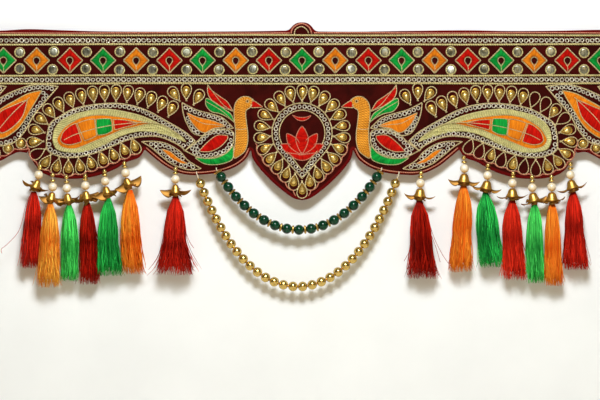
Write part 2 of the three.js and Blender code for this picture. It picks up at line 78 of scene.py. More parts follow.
# The bands, each with its top, its foot and the line of its rings, the diamonds and the mirrors
BANDS = [(-2.0, -13.4, -8.4), (-42.4, -52.4, -47.7)]
BAND_END_X = 452.0
END_BAND_X, END_BAND_HALF, END_BAND_TOP, END_BAND_LOW = 447.0, 4.2, -53.5, -115.0
END_CORD_X = 454.4
BAND_INSET = 1.1
ZIGZAG_HALF, ZIGZAG_R = 2.9, 0.36
BAND_RING_SIZE = 1.08
STRIP_R = 0.95
RING_PITCH = 5.1
RING_R = 1.75
RING_THREAD_R = 0.55
DIAMOND_Z = -28.3
DIAMOND_HALF, DIAMOND_HOLE_R = 13.0, 3.5
DIAMOND_PITCH = 33.2
DIAMONDS_PER_SIDE = 13
MIRROR_ROWS = (-20.0, -37.2)
MIRROR_R, MIRROR_LOOP_R = 4.1, 4.8
LEAF_PITCH = 52.0
LEAVES_PER_SIDE = 3
FIRST_ROUND_X = 281.0
ROUND_PITCH = 13.0
ROUNDS_PER_SIDE = 12
ROUND_LINE_Z = -116.2
ROUND_LINE_SWING = 4.9
EDGE_BELOW_ROUNDS = 8.5
# The edge cord: its radius, how far its middle stands off the face, and how far outside the line of
# the stones it runs
EDGE_R, EDGE_LIFT, EDGE_OUT = 0.62, 0.5, 6.6
# Points for each stone on the scalloped cord, and the stones where it stops or starts
STONE_STEPS = 16
HEART_CORD_STONES = 7.75
FIRST_BELOW_PAISLEY = 14
LOOP_R = 0.54
# The stitches on the back: their length and pitch, and how far they keep from the two edges
BACK_STITCH, BACK_PITCH = 3.8, 6.8
HEM_TOP, HEM_LOW = 5.5, 6.5
# How deep the floss pads reach under the face
PAD_UNDER = 0.35

# Beads: their radii, and how far the spacer and the cap keep from the pearl
SEED_R, PEARL_R, SPACER_GAP, CAP_GAP = 2.3, 4.8, 1.6, 0.15
# The swags: their two ends, their top and sag, the radius and number of the beads, and the bare
# thread before the first one
GREEN_SWAG = {"left": -85.6, "right": 79.6, "top": -137.4, "sag": 60.4, "bead": 5.2, "beads": 17,
              "lead": 3.0}
GOLD_SWAG = {"left": -105.4, "right": 97.0, "top": -141.4, "sag": 113.2, "bead": 4.8, "beads": 32,
             "lead": 6.0}
THREAD_R, THREAD_RISE = 0.5, 1.8

# Caps: how far the bell reaches up and down from the petals, and the depth of the flower as a share
# of its width. Petals: half their thickness, and how far they nod
CAP_DOME, CAP_FOOT, CAP_SQUASH = 8.5, 4.0, 0.55
PETAL_HALF = 0.22
NOD = math.radians(16)
# Silk: how far it reaches up into the bell, its strands, and the points along each
HEAD_HIDDEN = 1.5
STRANDS, TASSEL_ROWS = 250, 15
STRAND_R, HAIR_R, HAIR_FRONT = 0.47, 0.24, 3

# Outlines of the right half as [x, z] points of smooth lines
TOP_EDGE = [
    [-457, 1.2], [-400, 2], [-340, 1], [-302, 1.6], [-274, 3.1], [-240, 2], [-200, 0.9], [-130, 0.6],
    [-60, 0.9], [-24, 1.5], [-14, 2.2], [-9, 6.8], [-5, 9.2], [0, 9.9], [5, 9.2], [9, 6.6], [14, 1.4],
    [24, 0.7], [60, 0.6], [110, 1.4], [165, 1.9], [210, 1.2], [260, 1.6], [300, 2.4], [350, 1.6],
    [400, 1], [457, 1.6],
]
HEART_EDGE = [[0, -168.2], [8, -166.4], [18, -159.8], [30, -149.5], [41, -138], [49, -127], [51.2, -117.5]]
BIRD_EDGE = [
    [51.2, -117.5], [55.5, -126], [63, -132.6], [73, -137.6], [86, -141], [100, -142.6], [112, -143],
    [123, -141], [136, -134.8], [147, -126.5], [157.5, -117.5],
]
PAISLEY_EDGE = [
    [157.5, -117.5], [163, -125.5], [174.5, -129.8], [187, -137], [200, -142.3], [213, -145.5],
    [226, -146.8], [238, -146.7], [250, -144.8], [260, -140.5], [267, -133], [271.5, -125.5], [275, -119],
]

# Two-sided shapes of the right half: each side runs from the root to the tip
PAISLEY_OUTER = (
    [[255.4, -105.3], [252, -92], [243, -84.9], [225.5, -76], [196, -71.5], [174.4, -72.8], [155.3, -78.6],
     [136.2, -88.8], [117, -100.2], [107, -109]],
    [[255.4, -105.3], [254.5, -118], [242.1, -124.5], [225.5, -125.1], [206.3, -120.7], [187.2, -113],
     [174.4, -107.9], [161.7, -104.7], [142.6, -104.7], [123.4, -113], [117, -119.4]],
)
PAISLEY_LIME = (
    [[249.5, -108], [247, -96], [235.7, -85.4], [212.7, -78.6], [193.6, -77.3], [168.1, -81.8],
     [148.9, -88.8], [123.4, -102.8], [116, -110]],
    [[249.5, -108], [247, -115], [242, -118.6], [230.6, -120.4], [221, -120.2], [212, -118],
     [202.8, -114.6], [193.5, -110.4], [186, -106.3], [175, -101.7], [162, -99], [150, -99.3],
     [142.6, -100.5], [128, -105.4], [116, -110]],
)
PAISLEY_BODY = (
    [[245.2, -108.3], [244.3, -105], [239, -96.8], [232, -91.4], [222, -86], [212, -83.7], [202.8, -82.9],
     [192, -83.7], [179.7, -85.2], [170.5, -86.8], [150.5, -91.4]],
    [[245.2, -108.3], [243.5, -112], [240, -115], [233, -116.8], [225.5, -116.3], [219, -114],
     [206, -108.5], [195, -104.2], [187.2, -100.8], [179.7, -97.7], [168, -95.2], [160, -93],
     [150.5, -91.4]],
)
PAISLEY_RED_END = (
    [[241.6, -108.4], [239, -100.5], [232, -94], [226, -91.2]],
    [[241.6, -108.4], [238, -111.8], [230, -112.6], [219.5, -109.4]],
)
PAISLEY_BLOCK = (
    [[225, -91.4], [216, -88.2], [207.6, -86.8]],
    [[218, -109], [211, -106.6], [205, -103.6]],
)
PAISLEY_GREEN = (
    [[206.6, -87.4], [199, -86.6], [190.5, -86.8]],
    [[205.3, -103.4], [196, -102], [189.2, -98.4]],
)
PAISLEY_WEDGE = (
    [[189, -87.4], [178, -88], [164.3, -90.6]],
    [[188, -98.2], [178, -95.4], [164.3, -91.6]],
)
UPPER_WING = (
    [[68.6, -96], [79, -86.2], [90, -82.2], [104, -78.4], [115, -73.4], [120.2, -70.4]],
    [[68.6, -96], [88, -99.5], [99, -103.5], [109, -101], [115.5, -91], [118.9, -81], [120.2, -70.4]],
)
UPPER_LEAF = (
    [[76.6, -93.6], [89.1, -88.7], [103.2, -85.4], [115.6, -80.4]],
    [[76.6, -94.6], [89.1, -96.6], [95, -100.4], [101.5, -99.5], [109.8, -91.2], [115.6, -80.4]],
)
LOWER_WING = (
    [[68.3, -101.1], [74.2, -97.3], [92.4, -98.6], [105.7, -110.2], [117.3, -118.5]],
    [[68.3, -101.1], [69.2, -111.9], [76.6, -121], [89.1, -125.2], [101.5, -126], [117.3, -118.5]],
)
LOWER_LEAF = (
    [[74.2, -103.6], [84.9, -103.2], [95.7, -111.1], [103.2, -119.4]],
    [[74.2, -103.6], [75, -107.8], [82.4, -115.2], [92.4, -119.6], [103.2, -119.4]],
)
BELLY = (
    [[68.8, -113.5], [76.6, -121.7], [89.1, -126.3], [107.3, -125.6]],
    [[68.8, -113.5], [68.8, -124.5], [72.5, -129.3], [84.9, -132.6], [97.4, -131.8], [107.3, -125.6]],
)
TAIL_LEAF = (
    [[160.4, -109.6], [147.1, -109.4], [134.7, -111.9], [122.2, -119.4], [114, -128.5], [100.7, -136.8]],
    [[160.4, -109.6], [151.3, -115.2], [140.5, -124.3], [128.9, -132.6], [114, -137.6], [100.7, -136.8]],
)
TAIL_SLIVER = (
    [[140.5, -116.9], [132.2, -119.4], [123.9, -126], [114, -131.8]],
    [[140.5, -116.9], [132.2, -125.2], [122.2, -131], [114, -131.8]],
)
RED_CREST = (
    [[94.2, -52.2], [92.3, -56.6], [82.8, -64], [74.7, -69.8], [69, -79.4]],
    [[94.2, -52.2], [94.5, -60.3], [90.9, -67.6], [82.8, -73.5], [76.2, -76.4], [69, -79.4]],
)
GREEN_CREST = (
    [[96.5, -68.6], [95.3, -66.2], [87.9, -69.8], [77.7, -77.2], [71, -82.3], [67.6, -90.4]],
    [[96.5, -68.6], [96, -73.5], [90.9, -79.4], [82.1, -81.6], [74.7, -85.2], [67.6, -90.4]],
)
NECK = (
    [[49, -67.6], [54, -64.6], [60.5, -65], [66, -69.8], [68.1, -77.9], [67.4, -90.4], [66.5, -101.4],
     [67.4, -114.6], [68.6, -123.4], [67.4, -126.7]],
    [[49, -67.6], [49.6, -72], [52, -75.6], [56.2, -79.2], [55.6, -90.4], [54.2, -101.4], [54.5, -110.9],
     [57.1, -119], [63, -124.1], [67.4, -126.7]],
)
BEAK = (
    [[50.6, -67.4], [47, -69.4], [43.4, -71.8], [39, -75]],
    [[51.4, -75.6], [48.6, -75.6], [44, -75.4], [39, -75]],
)
LEAF_OUTER = (
    [[244.1, -54.5], [265.5, -52.4], [284.5, -57.6], [302, -66], [313, -76], [319, -90]],
    [[244.1, -54.5], [257.1, -69.6], [268.3, -82.9], [274, -93.4], [278.9, -101.1], [288, -110.2],
     [302, -113.7], [312, -108], [319, -90]],
)
LEAF_ORANGE = (
    [[260.6, -58.3], [274, -61.5], [288, -68.9], [302, -77.3], [309.5, -86], [310.5, -94]],
    [[260.6, -58.3], [263.4, -64], [271.8, -78], [278.9, -89.9], [288, -99.7], [302, -106.4],
     [310.5, -94]],
)
LEAF_RED = (
    [[274.6, -67.5], [288, -73.1], [302, -80.1], [304.5, -90]],
    [[274.6, -67.5], [278.9, -82.9], [285.9, -92], [295, -99], [302, -100.4], [304.5, -90]],
)

LOTUS_CUP = (
    [[-13.5, -121.0], [-7, -126.6], [0, -128.4], [7, -126.6], [13.5, -121.0]],
    [[-13.5, -121.0], [-6, -121.8], [0, -122.6], [6, -121.8], [13.5, -121.0]],
)
LOTUS_BUD = (
    [[-9.5, -83.2], [-5, -87.4], [0, -88.8], [5, -87.4], [9.5, -83.2]],
    [[-9.5, -83.2], [-4.5, -85.0], [0, -85.4], [4.5, -85.0], [9.5, -83.2]],
)
# The angle, length and width of each petal, from the back to the front
LOTUS_PETALS = [(-1.12, 24.0, 9.5), (1.12, 24.0, 9.5), (-0.62, 26.5, 10.5), (0.62, 26.5, 10.5),
                (0.0, 29.0, 12.5)]

# Thin cords over the floss, and the birds' eyes
PAISLEY_VEIN = [[238, -108], [228, -103], [214, -98.5], [198, -94.6], [180, -92], [160, -90.6],
                [140, -92.5], [122, -103]]
BIRD_VEINS = [
    [[76.6, -94.2], [88, -92.6], [100, -91], [114, -83]],
    [[69, -79.4], [80, -71.5], [94, -53]],
    [[68, -90.4], [80, -79], [96, -69.4]],
    [[55.3, -96.6], [61, -97.4], [67.3, -96.8]],
]
LEAF_VEIN = [[272.5, -65.4], [282, -74], [292, -84], [303, -97]]
EYE_X, EYE_Z = 54.6, -69.2

# The lines of the drop stones, as the radius and the depth of a teardrop or as points
HEART = {"z": -101.0, "outer": (30.0, 45.5), "inner": (22.9, 37.4), "rings": (26.4, 41.4),
         "stones": (39.8, 56.5), "count": 24}
PAISLEY_STONES = [
    [130.4, -77.3], [152.1, -67.7], [175.1, -62], [198.4, -61.6], [221.6, -65.2], [244, -74.1],
    [261.8, -89.4], [266.9, -110.4], [263.1, -121.9], [254.2, -130.2], [235, -135.5], [212.1, -130.9],
    [189.1, -122.5], [167.4, -113.6],
]
PAISLEY_STONE_COUNT = 25
# Single stones behind the crests: x, z and the angle of the point in degrees
CREST_STONES = [(127.3, -62.5, -127), (115.8, -60, -90), (104.5, -65.5, -60)]
# The settings round each paisley that have lost their stone, counted along the line
LOST_LEFT = {15}
LOST_RIGHT = {9, 10, 12, 18, 19, 21, 23, 24}

# Tassels on their strings: where each starts and ends, the tilt, turn and reach of the cap's petals,
# and the width of the silk half way and at its end
Tassel = namedtuple("Tassel", "name root_x root_z pearl_x pearl_z tilt turn reach end_x end_z "
                              "middle lower silk")
TASSELS = [Tassel(*row) for row in (
    ("left_1", -261.6, -134.5, -263.1, -142.9, 25, 18, 15, -271, -235, 17.5, 15.5, "red"),
    ("left_2", -249.1, -143, -249.1, -155, 12, 26, 14.5, -252, -254, 19, 23, "amber"),
    ("left_3", -235.3, -145, -235, -156.3, -12, 26, 14, -231.5, -248, 17, 15.5, "green"),
    ("left_4", -216.5, -144, -216.5, -153.7, -10, 26, 14, -213, -251, 17.5, 17.5, "crimson"),
    ("left_5", -197.4, -139.6, -196.8, -149.3, -17, 24, 14.5, -194, -243, 20, 26, "emerald"),
    ("left_6", -177.6, -131.4, -176.4, -141, -24, 16, 15.5, -168, -241, 19, 20, "orange"),
    ("left_7", -126.4, -137, -126.6, -147.3, -2, 0, 16, -128, -242, 22, 37, "red"),
    ("right_1", 119, -141, 118.4, -151.2, 5, 4, 16, 121, -245.6, 22, 29, "crimson"),
    ("right_2", 161.8, -125.7, 162.4, -136.5, 4, 0, 16, 160, -239, 19, 22, "orange"),
    ("right_3", 185.8, -133.3, 185.4, -143.5, 10, 0, 16, 188.5, -234.4, 23, 22, "emerald"),
    ("right_4", 211, -141.6, 210.2, -151.2, 0, 12, 16, 211.6, -247, 20, 23, "scarlet"),
    ("right_5", 230, -145.2, 230, -155.6, -13, 24, 15, 234, -250, 17, 17, "green"),
    ("right_6", 249.3, -145, 249.5, -155, -3, 24, 15, 252.6, -252.6, 16, 16, "orange"),
    ("right_7", 268.4, -132, 268.3, -142.9, -15, 0, 16, 275, -236.8, 19, 25, "red"),
)]
# Loose strands that leave a tassel, in x and z
LOOSE = {
    "left_1": [[[-270, -160], [-275.9, -174], [-279, -188], [-284, -201], [-294, -212], [-300, -217],
                [-299.4, -221.3]]],
    "left_7": [[[-121, -196], [-116, -212], [-109, -226], [-104, -234]],
               [[-120, -188], [-113, -208], [-108, -216]], [[-133, -200], [-140, -218], [-147, -236]]],
    "right_1": [[[127, -190], [132, -206], [140, -222], [146, -231]],
                [[128, -200], [134, -216], [138, -230]], [[116, -200], [109, -216], [102, -229]]],
}


# Lines

def smooth(points, per_span=10, closed=False):
    """Catmull-Rom line: each span is a cubic through its two points, with end slopes from the
    points before and after them."""
    p = np.asarray(points, float)
    if closed:
        p = np.vstack([p[-1:], p, p[:2]])
    else:
        p = np.vstack([p[:1], p, p[-1:]])
    a, b, c, d = (p[i : len(p) - 3 + i][:, None] for i in range(4))
    t = (np.arange(per_span) / per_span)[None, :, None]
    out, back = (c - a) / 2, (d - b) / 2
    line = (2 * b - 2 * c + out + back) * t**3 + (3 * c - 3 * b - 2 * out - back) * t**2 + out * t + b
    line = line.reshape(-1, p.shape[1])
    return line if closed else np.vstack([line, p[-2:-1]])


def arc(lines):
    """The length of each line up to each of its points."""
    steps = np.linalg.norm(np.diff(lines, axis=-2), axis=-1)
    return np.concatenate([np.zeros((*steps.shape[:-1], 1)), np.cumsum(steps, axis=-1)], axis=-1)


def unit(vectors):
    """Vectors of length one."""
    return vectors / (np.linalg.norm(vectors, axis=-1)[..., None] + 1e-12)


def slopes(lines, closed):
    """Unit vectors along each line, from the slope between the points around each."""
    if closed:
        return unit(np.roll(lines, -1, axis=-2) - np.roll(lines, 1, axis=-2))
    return unit(np.gradient(lines, axis=-2))


def resample(line, step=None, count=None, closed=False):
    """Points of a line at even steps of its arc length."""
    line = np.asarray(line, float)
    if closed:
        line = np.vstack([line, line[:1]])
    s = arc(line)
    if count is None:
        count = max(3, int(round(s[-1] / step)) + (0 if closed else 1))
    at = np.linspace(0, s[-1], count + 1)[:-1] if closed else np.linspace(0, s[-1], count)
    return np.column_stack([np.interp(at, s, line[:, i]) for i in range(line.shape[1])])


def left_normals(line, closed=False):
    """Unit vectors to the left of a flat line."""
    along = slopes(line, closed)
    return np.column_stack([-along[:, 1], along[:, 0]])


def teardrop(r, tip, centre_z, steps=96):
    """A circle of radius r that runs in two tangents to a point tip below its middle, closed."""
    start = math.acos(r / tip)
    a = np.linspace(start, TURN - start, steps)
    bow = np.column_stack([r * np.sin(a), centre_z - r * np.cos(a)])
    return resample(np.vstack([[[0, centre_z - tip]], bow]), count=steps, closed=True)


def circle(x, z, r, steps=24):
    """A circle in x and z."""
    a = np.arange(steps) * TURN / steps
    return np.column_stack([x + r * np.cos(a), z + r * np.sin(a)])


def both(line):
    """A flat line on the right half and its mirror image."""
    return [np.asarray(line, float) * [flip, 1] for flip in (1, -1)]


def outline_of(sides):
    """The closed outline of a two-sided shape: up one side and back down the other."""
    first, second = (smooth(side) for side in sides)
    return resample(np.vstack([first, second[::-1][1:-1]]), step=1.2, closed=True)


def distance_to(points, line):
    """Distance of each point to the nearest segment of a closed line, a few thousand at a time."""
    along = np.roll(line, -1, axis=0) - line
    nearest = []
    for low in range(0, len(points), 4000):
        p = points[low : low + 4000, None]
        t = ((p - line) * along).sum(2) / ((along**2).sum(1) + 1e-12)
        foot = line + t.clip(0, 1)[:, :, None] * along
        nearest.append(np.linalg.norm(p - foot, axis=2).min(1))
    return np.concatenate(nearest)


def inside(points, line):
    """True where a point is inside a closed line, by the crossings of a ray to its right."""
    x, z = points[:, :1], points[:, 1:]
    x0, z0 = line[:, 0], line[:, 1]
    x1, z1 = np.roll(x0, -1), np.roll(z0, -1)
    crosses = (z0 > z) != (z1 > z)
    at = x0 + (z - z0) * (x1 - x0) / np.where(z1 == z0, 1e-9, z1 - z0)
    return (crosses & (x < at)).sum(1) % 2 == 1


# The cloth's face

def lean(x, z):
    """How far the cloth leans out: the square of the way down from LEAN_START_Z, times a slow wave
    along the length."""
    down = np.maximum(0, (LEAN_START_Z - z) / LEAN_HEIGHT)
    return -LEAN * down**2 * (0.7 + 0.3 * np.cos(TURN * x / LEAN_WAVE))


def face(x, z):
    """The velvet's face: the lean, the thickness and shallow puckers between the stitches."""
    pucker = 0.16 * np.sin(x / 7.3 + 1.7 * np.sin(z / 11.0)) * np.sin(z / 8.1 + 1.3 * np.sin(x / 29.0))
    return lean(x, z) - CLOTH + pucker


def on_cloth(line, lift):
    """A flat line laid on the face, lift in front of it."""
    line = np.asarray(line, float)
    return np.column_stack([line[:, 0], face(line[:, 0], line[:, 1]) - lift, line[:, 1]])


# Shapes: (points, quads, triangles, quad uv, triangle uv)

def outward(shape):
    """The shape with its faces turned outwards, judged by the sign of its volume."""
    points, quads, tris, quad_uv, tri_uv = shape
    a, b, c, d = (points[quads[:, i]] for i in range(4))
    volume = (np.cross(b - a, c - a) * a).sum() + (np.cross(c - a, d - a) * a).sum()
    if len(tris):
        a, b, c = (points[tris[:, i]] for i in range(3))
        volume += (np.cross(b - a, c - a) * a).sum()
    if volume < 0:
        quads, quad_uv = quads[:, ::-1], quad_uv[:, ::-1]
        tris, tri_uv = tris[:, ::-1], tri_uv[:, ::-1]
    return points, quads, tris, quad_uv, tri_uv


def tube_ends(rings):
    """The middle points of the first and the last ring of each tube."""
    return [rings[:, end].mean(axis=1) for end in (0, -1)]


def sweep(rings, u, v, first=None, last=None, closed=False):
    """A closed surface from rings of points, shape (tubes, rings, sides, 3). Each ring joins the
    next. first and last are the middle points of the two end caps of each tube."""
    tubes, length, sides, _ = rings.shape
    spans = length if closed else length - 1
    i, j = np.meshgrid(np.arange(spans), np.arange(sides), indexing="ij")
    up, over = (i + 1) % length, (j + 1) % sides
    one = np.stack([i * sides + j, i * sides + over, up * sides + over, up * sides + j], -1).reshape(-1, 4)
    base = (np.arange(tubes) * length * sides)[:, None, None]
    quads = (one[None] + base).reshape(-1, 4)
    along = np.concatenate([u, u[:, -1:] + (u[:, -1:] - u[:, -2:-1])], axis=1)
    around = np.append(v, 2 * v[-1] - v[-2])
    quad_uv = np.empty((tubes, spans * sides, 4, 2))
    fi, fj = i.ravel(), j.ravel()
    for k, (di, dj) in enumerate([(0, 0), (0, 1), (1, 1), (1, 0)]):
        quad_uv[:, :, k, 0] = along[:, fi + di]
        quad_uv[:, :, k, 1] = around[fj + dj]
    quad_uv = quad_uv.reshape(-1, 4, 2)
    points = rings.reshape(-1, 3)
    tris = np.zeros((0, 3), int)
    tri_uv = np.zeros((0, 3, 2))
    if not closed:
        count = len(points)
        points = np.vstack([points, first, last])
        k = np.arange(sides)
        over = (k + 1) % sides
        starts = (np.arange(tubes) * length * sides)[:, None]
        ends = starts + (length - 1) * sides
        pole = count + np.arange(tubes)[:, None] + np.zeros((1, sides), int)
        low = np.stack([pole, starts + over, starts + k], -1).reshape(-1, 3)
        high = np.stack([pole + tubes, ends + k, ends + over], -1).reshape(-1, 3)
        tris = np.vstack([low, high])
        cap_u = np.repeat(np.concatenate([u[:, 0], u[:, -1]]), sides)
        spread = np.tile(np.stack([around[k], around[k + 1], around[k]], -1), (2 * tubes, 1))
        tri_uv = np.stack([np.repeat(cap_u[:, None], 3, 1), spread], -1)
    return outward((points, quads, tris, quad_uv, tri_uv))


def tubes(paths, radius, sides=6, flat=1.0, lobes=0, pitch=4.0, depth=0.0, closed=False):
    """Tubes along paths, shape (tubes, points, 3): at each point a ring of sides points, whose
    radius follows radius times one plus depth times a cosine that turns once in each pitch."""
    paths = np.asarray(paths, float)
    along = slopes(paths, closed)
    side = unit(np.cross(along, FRONT))
    out = np.cross(side, along)
    s = arc(paths)
    theta = np.arange(sides) * TURN / sides
    radius = np.broadcast_to(np.asarray(radius, float), paths.shape[:2])[:, :, None]
    if lobes:
        radius = radius * (1 + depth * np.cos(lobes * theta - TURN * s[:, :, None] / pitch))
    else:
        radius = radius * np.ones(sides)
    rings = (
        paths[:, :, None]
        + (radius * np.cos(theta))[..., None] * side[:, :, None]
        + flat * (radius * np.sin(theta))[..., None] * out[:, :, None]
    )
    v = np.arange(sides) / sides
    return sweep(rings, s * UV_MM, v, paths[:, 0], paths[:, -1], closed)


def cord(line, r, lift=None, closed=False, step=1.1, sides=6, flat=0.8, pitch=2.6, depth=0.16):
    """A two-ply cord laid on the cloth along a flat line."""
    line = resample(line, step=step, closed=closed)
    path = on_cloth(line, r * 0.6 if lift is None else lift)
    return tubes(path[None], r, sides, flat, 2, pitch, depth, closed)


def strand(path, r, sides=5):
    """A plain thread along a path in space."""
    return tubes(np.asarray(path, float)[None], r, sides)


def turned(profile, sides):
    """A solid of revolution about a vertical axis from [radius, height] points that start and end
    on the axis."""
    profile = np.asarray(profile, float)
    theta = np.arange(sides) * TURN / sides
    r, z = profile[1:-1, 0][:, None], profile[1:-1, 1][:, None]
    rings = np.stack([r * np.cos(theta), r * np.sin(theta), z * np.ones(sides)], -1)
    u = arc(profile)[None, 1:-1] * UV_MM
    ends = np.array([[[0, 0, profile[0, 1]]], [[0, 0, profile[-1, 1]]]])
    return sweep(rings[None], u, np.arange(sides) / sides, *ends)


def ball(r, sides=16, rows=9, hole=0.0):
    """A sphere as a solid of revolution, a little flattened at its two holes."""
    a = np.linspace(0, math.pi, rows + 2)
    profile = np.column_stack([r * np.sin(a), -r * np.cos(a)])
    profile[:, 1] = profile[:, 1].clip(-r + hole, r - hole)
    return turned(profile, sides)


def copies(shape, offsets, turns=None, scales=None):
    """Many copies of one shape: each is scaled, turned by its 3 by 3 matrix and moved."""
    points, quads, tris, quad_uv, tri_uv = shape
    offsets = np.asarray(offsets, float)
    n = len(offsets)
    turns = np.broadcast_to(np.eye(3), (n, 3, 3)) if turns is None else turns
    scales = np.ones(n) if scales is None else scales
    placed = np.einsum("nij,pj->npi", turns, points) * scales[:, None, None] + offsets[:, None]
    base = (np.arange(n) * len(points))[:, None, None]
    return (
        placed.reshape(-1, 3),
        (quads[None] + base).reshape(-1, 4),
        (tris[None] + base).reshape(-1, 3),
        np.tile(quad_uv, (n, 1, 1)),
        np.tile(tri_uv, (n, 1, 1)),
    )


def turns_about(axis, angles):
    """Matrices that turn about an axis by each angle: its cosine on the diagonal, and its sine, once
    negative, off it."""
    angles = np.atleast_1d(angles)
    made = np.zeros((len(angles), 3, 3))
    i, j = (k for k in range(3) if k != axis)
    made[:, axis, axis] = 1
    made[:, i, i] = made[:, j, j] = np.cos(angles)
    made[:, j, i] = np.sin(angles)
    made[:, i, j] = -np.sin(angles)
    return made


def tilts(n, most):
    """Small seeded turns about x and z, up to most radians."""
    a, b = random.uniform(-most, most, (2, n))
    return turns_about(0, a) @ turns_about(2, b)


def join(shapes):
    """One shape out of many: the faces of each count on from the points before it."""
    bases = np.cumsum([0] + [len(shape[0]) for shape in shapes])
    moved = [(p, q + base, t + base, quv, tuv) for (p, q, t, quv, tuv), base in zip(shapes, bases)]
    return tuple(np.concatenate(part) for part in zip(*moved))


def swelling(way, power):
    """The height across a raised form: the sine of the way across to a power, and for the last two
    points its flat underside."""
    swell = np.sin(math.pi * way) ** power
    swell[-2:] = -PAD_UNDER
    return swell


def between(first, second, way):
    """Points part of the way from one line to another, a row for each pair of points."""
    return first[:, None] * (1 - way)[None, :, None] + second[:, None] * way[None, :, None]


def pad(sides, height, base=0.0, steps=36, slope=0.55):
    """A raised two-sided shape: across it the height follows the sine of the way from side to side
    to a power under one, and it falls to a quarter at both tips. Its underside is flat, below the
    face."""
    first, second = (resample(smooth(side), count=steps) for side in sides)
    t = np.linspace(0, 1, steps)[:, None]
    s = np.concatenate([[0.0], np.linspace(0.02, 0.98, 11), [1.0, 0.75, 0.25]])
    swell = swelling(s, slope)
    swell[[0, -3]] = 0
    ends = np.minimum(1, 6 * np.minimum(t, 1 - t) + 0.25)
    out = base + height * swell[None] * np.where(swell[None] > 0, ends, 1)
    x, z = np.moveaxis(between(first, second, s), -1, 0)
    rings = np.stack([x, face(x, z) - out, z], -1)[None]
    v = s * np.linalg.norm(first - second, axis=1).max() * UV_MM
    v[-2:] = v[-3]
    u = arc((first + second) / 2)[None, 1:-1] * UV_MM
    return sweep(rings[:, 1:-1], u, v, *tube_ends(rings))


def ring_pad(inner, outer, height, base=0.0):
    """A raised band between two closed lines of the same count: the height follows the root of half
    a sine from the inner line to the outer one."""
    s = np.concatenate([np.linspace(0, 1, 7), [0.7, 0.3]])
    x, z = np.moveaxis(between(inner, outer, s), -1, 0)
    rings = np.stack([x, face(x, z) - base - height * swelling(s, 0.5)[None], z], -1)[None]
    v = s * np.linalg.norm(outer[0] - inner[0]) * UV_MM
    return sweep(rings, arc(outer)[None] * UV_MM, v, closed=True)


# Putting shapes into Blender

def link(name, data):
    """A new object in the scene."""
    made = bpy.data.objects.new(name, data)
    bpy.context.scene.collection.objects.link(made)
    return made


def add_piece(name, shape, material, slot, replaces=(), attributes=None, smooth_faces=True):
    """One mesh object that rides on the root body."""
    points, quads, tris, quad_uv, tri_uv = shape
    mesh = bpy.data.meshes.new(name)
    mesh.from_pydata((points * MM).tolist(), [], quads.tolist() + tris.tolist())
    mesh.polygons.foreach_set("use_smooth", np.full(len(mesh.polygons), smooth_faces))
    corners = np.concatenate([quad_uv.reshape(-1), tri_uv.reshape(-1)])
    mesh.uv_layers.new(name="UVMap").uv.foreach_set("vector", corners.astype(np.float32))
    for key, values in (attributes or {}).items():
        made = mesh.attributes.new(key, "FLOAT", "POINT")
        made.data.foreach_set("value", np.asarray(values, np.float32))
    mesh.update()
    mesh.materials.append(material)
    piece = link(name, mesh)
    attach(piece, "root")
    if replaces:
        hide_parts(*replaces)
    return piece


# Materials: colours are display values from 0 to 255, bump distances are metres

def linear(colour):
    """A display colour in the linear values that shaders read."""
    c = np.array(colour) / 255
    c = np.where(c < 0.04045, c / 12.92, ((c + 0.055) / 1.055) ** 2.4)
    return (*c.tolist(), 1.0)


class Nodes:
    """A node tree with short calls for the nodes that this file uses."""

    def __init__(self, tree):
        self.tree = tree

    def new(self, kind, **values):
        node = self.tree.nodes.new(kind)
        for key, value in values.items():
            setattr(node, key, value)
        return node

    def fill(self, socket, value):
        """Links a socket to another, or sets it to a number or a display colour."""
        if isinstance(value, bpy.types.NodeSocket):
            self.tree.links.new(value, socket)
        elif socket.type == "RGBA":
            socket.default_value = linear(value)
        else:
            socket.default_value = value

    def out(self, kind, output, inputs, **values):
        """An output of a new node, with its inputs filled."""
        node = self.new(kind, **values)
        for key, value in inputs.items():
            self.fill(node.inputs[key], value)
        return node.outputs[output]

    def math(self, kind, a, b=0.0, clamp=False):
        return self.out("ShaderNodeMath", 0, {0: a, 1: b}, operation=kind, use_clamp=clamp)

    def plus(self, a, b):
        return self.math("ADD", a, b)

    def times(self, a, b):
        return self.math("MULTIPLY", a, b)

    def mix(self, factor, a, b):
        return self.out("ShaderNodeMix", 2, {0: factor, 6: a, 7: b}, data_type="RGBA")

    def blend(self, factor, a, b):
        return self.out("ShaderNodeMix", 0, {0: factor, 2: a, 3: b}, data_type="FLOAT")

    def span(self, value, low, high, to_low=0.0, to_high=1.0):
        return self.out("ShaderNodeMapRange", 0, dict(enumerate((value, low, high, to_low, to_high))))

    def noise(self, vector, scale, detail=2.0, roughness=0.5, distortion=0.0):
        return self.out("ShaderNodeTexNoise", 0, {"Vector": vector, "Scale": scale, "Detail": detail,
                                                  "Roughness": roughness, "Distortion": distortion})

    def stretched(self, vector, scale):
        return self.out("ShaderNodeVectorMath", 0, {0: vector, 1: scale}, operation="MULTIPLY")

    def split(self, vector):
        node = self.new("ShaderNodeSeparateXYZ")
        self.fill(node.inputs[0], vector)
        return list(node.outputs)

    def attribute(self, name):
        return self.new("ShaderNodeAttribute", attribute_name=name).outputs["Fac"]

    def placed(self, tree, **inputs):
        """The outputs of a node group, with its inputs filled."""
        node = self.new("ShaderNodeGroup", node_tree=tree)
        for key, value in inputs.items():
            self.fill(node.inputs[key], value)
        return node.outputs


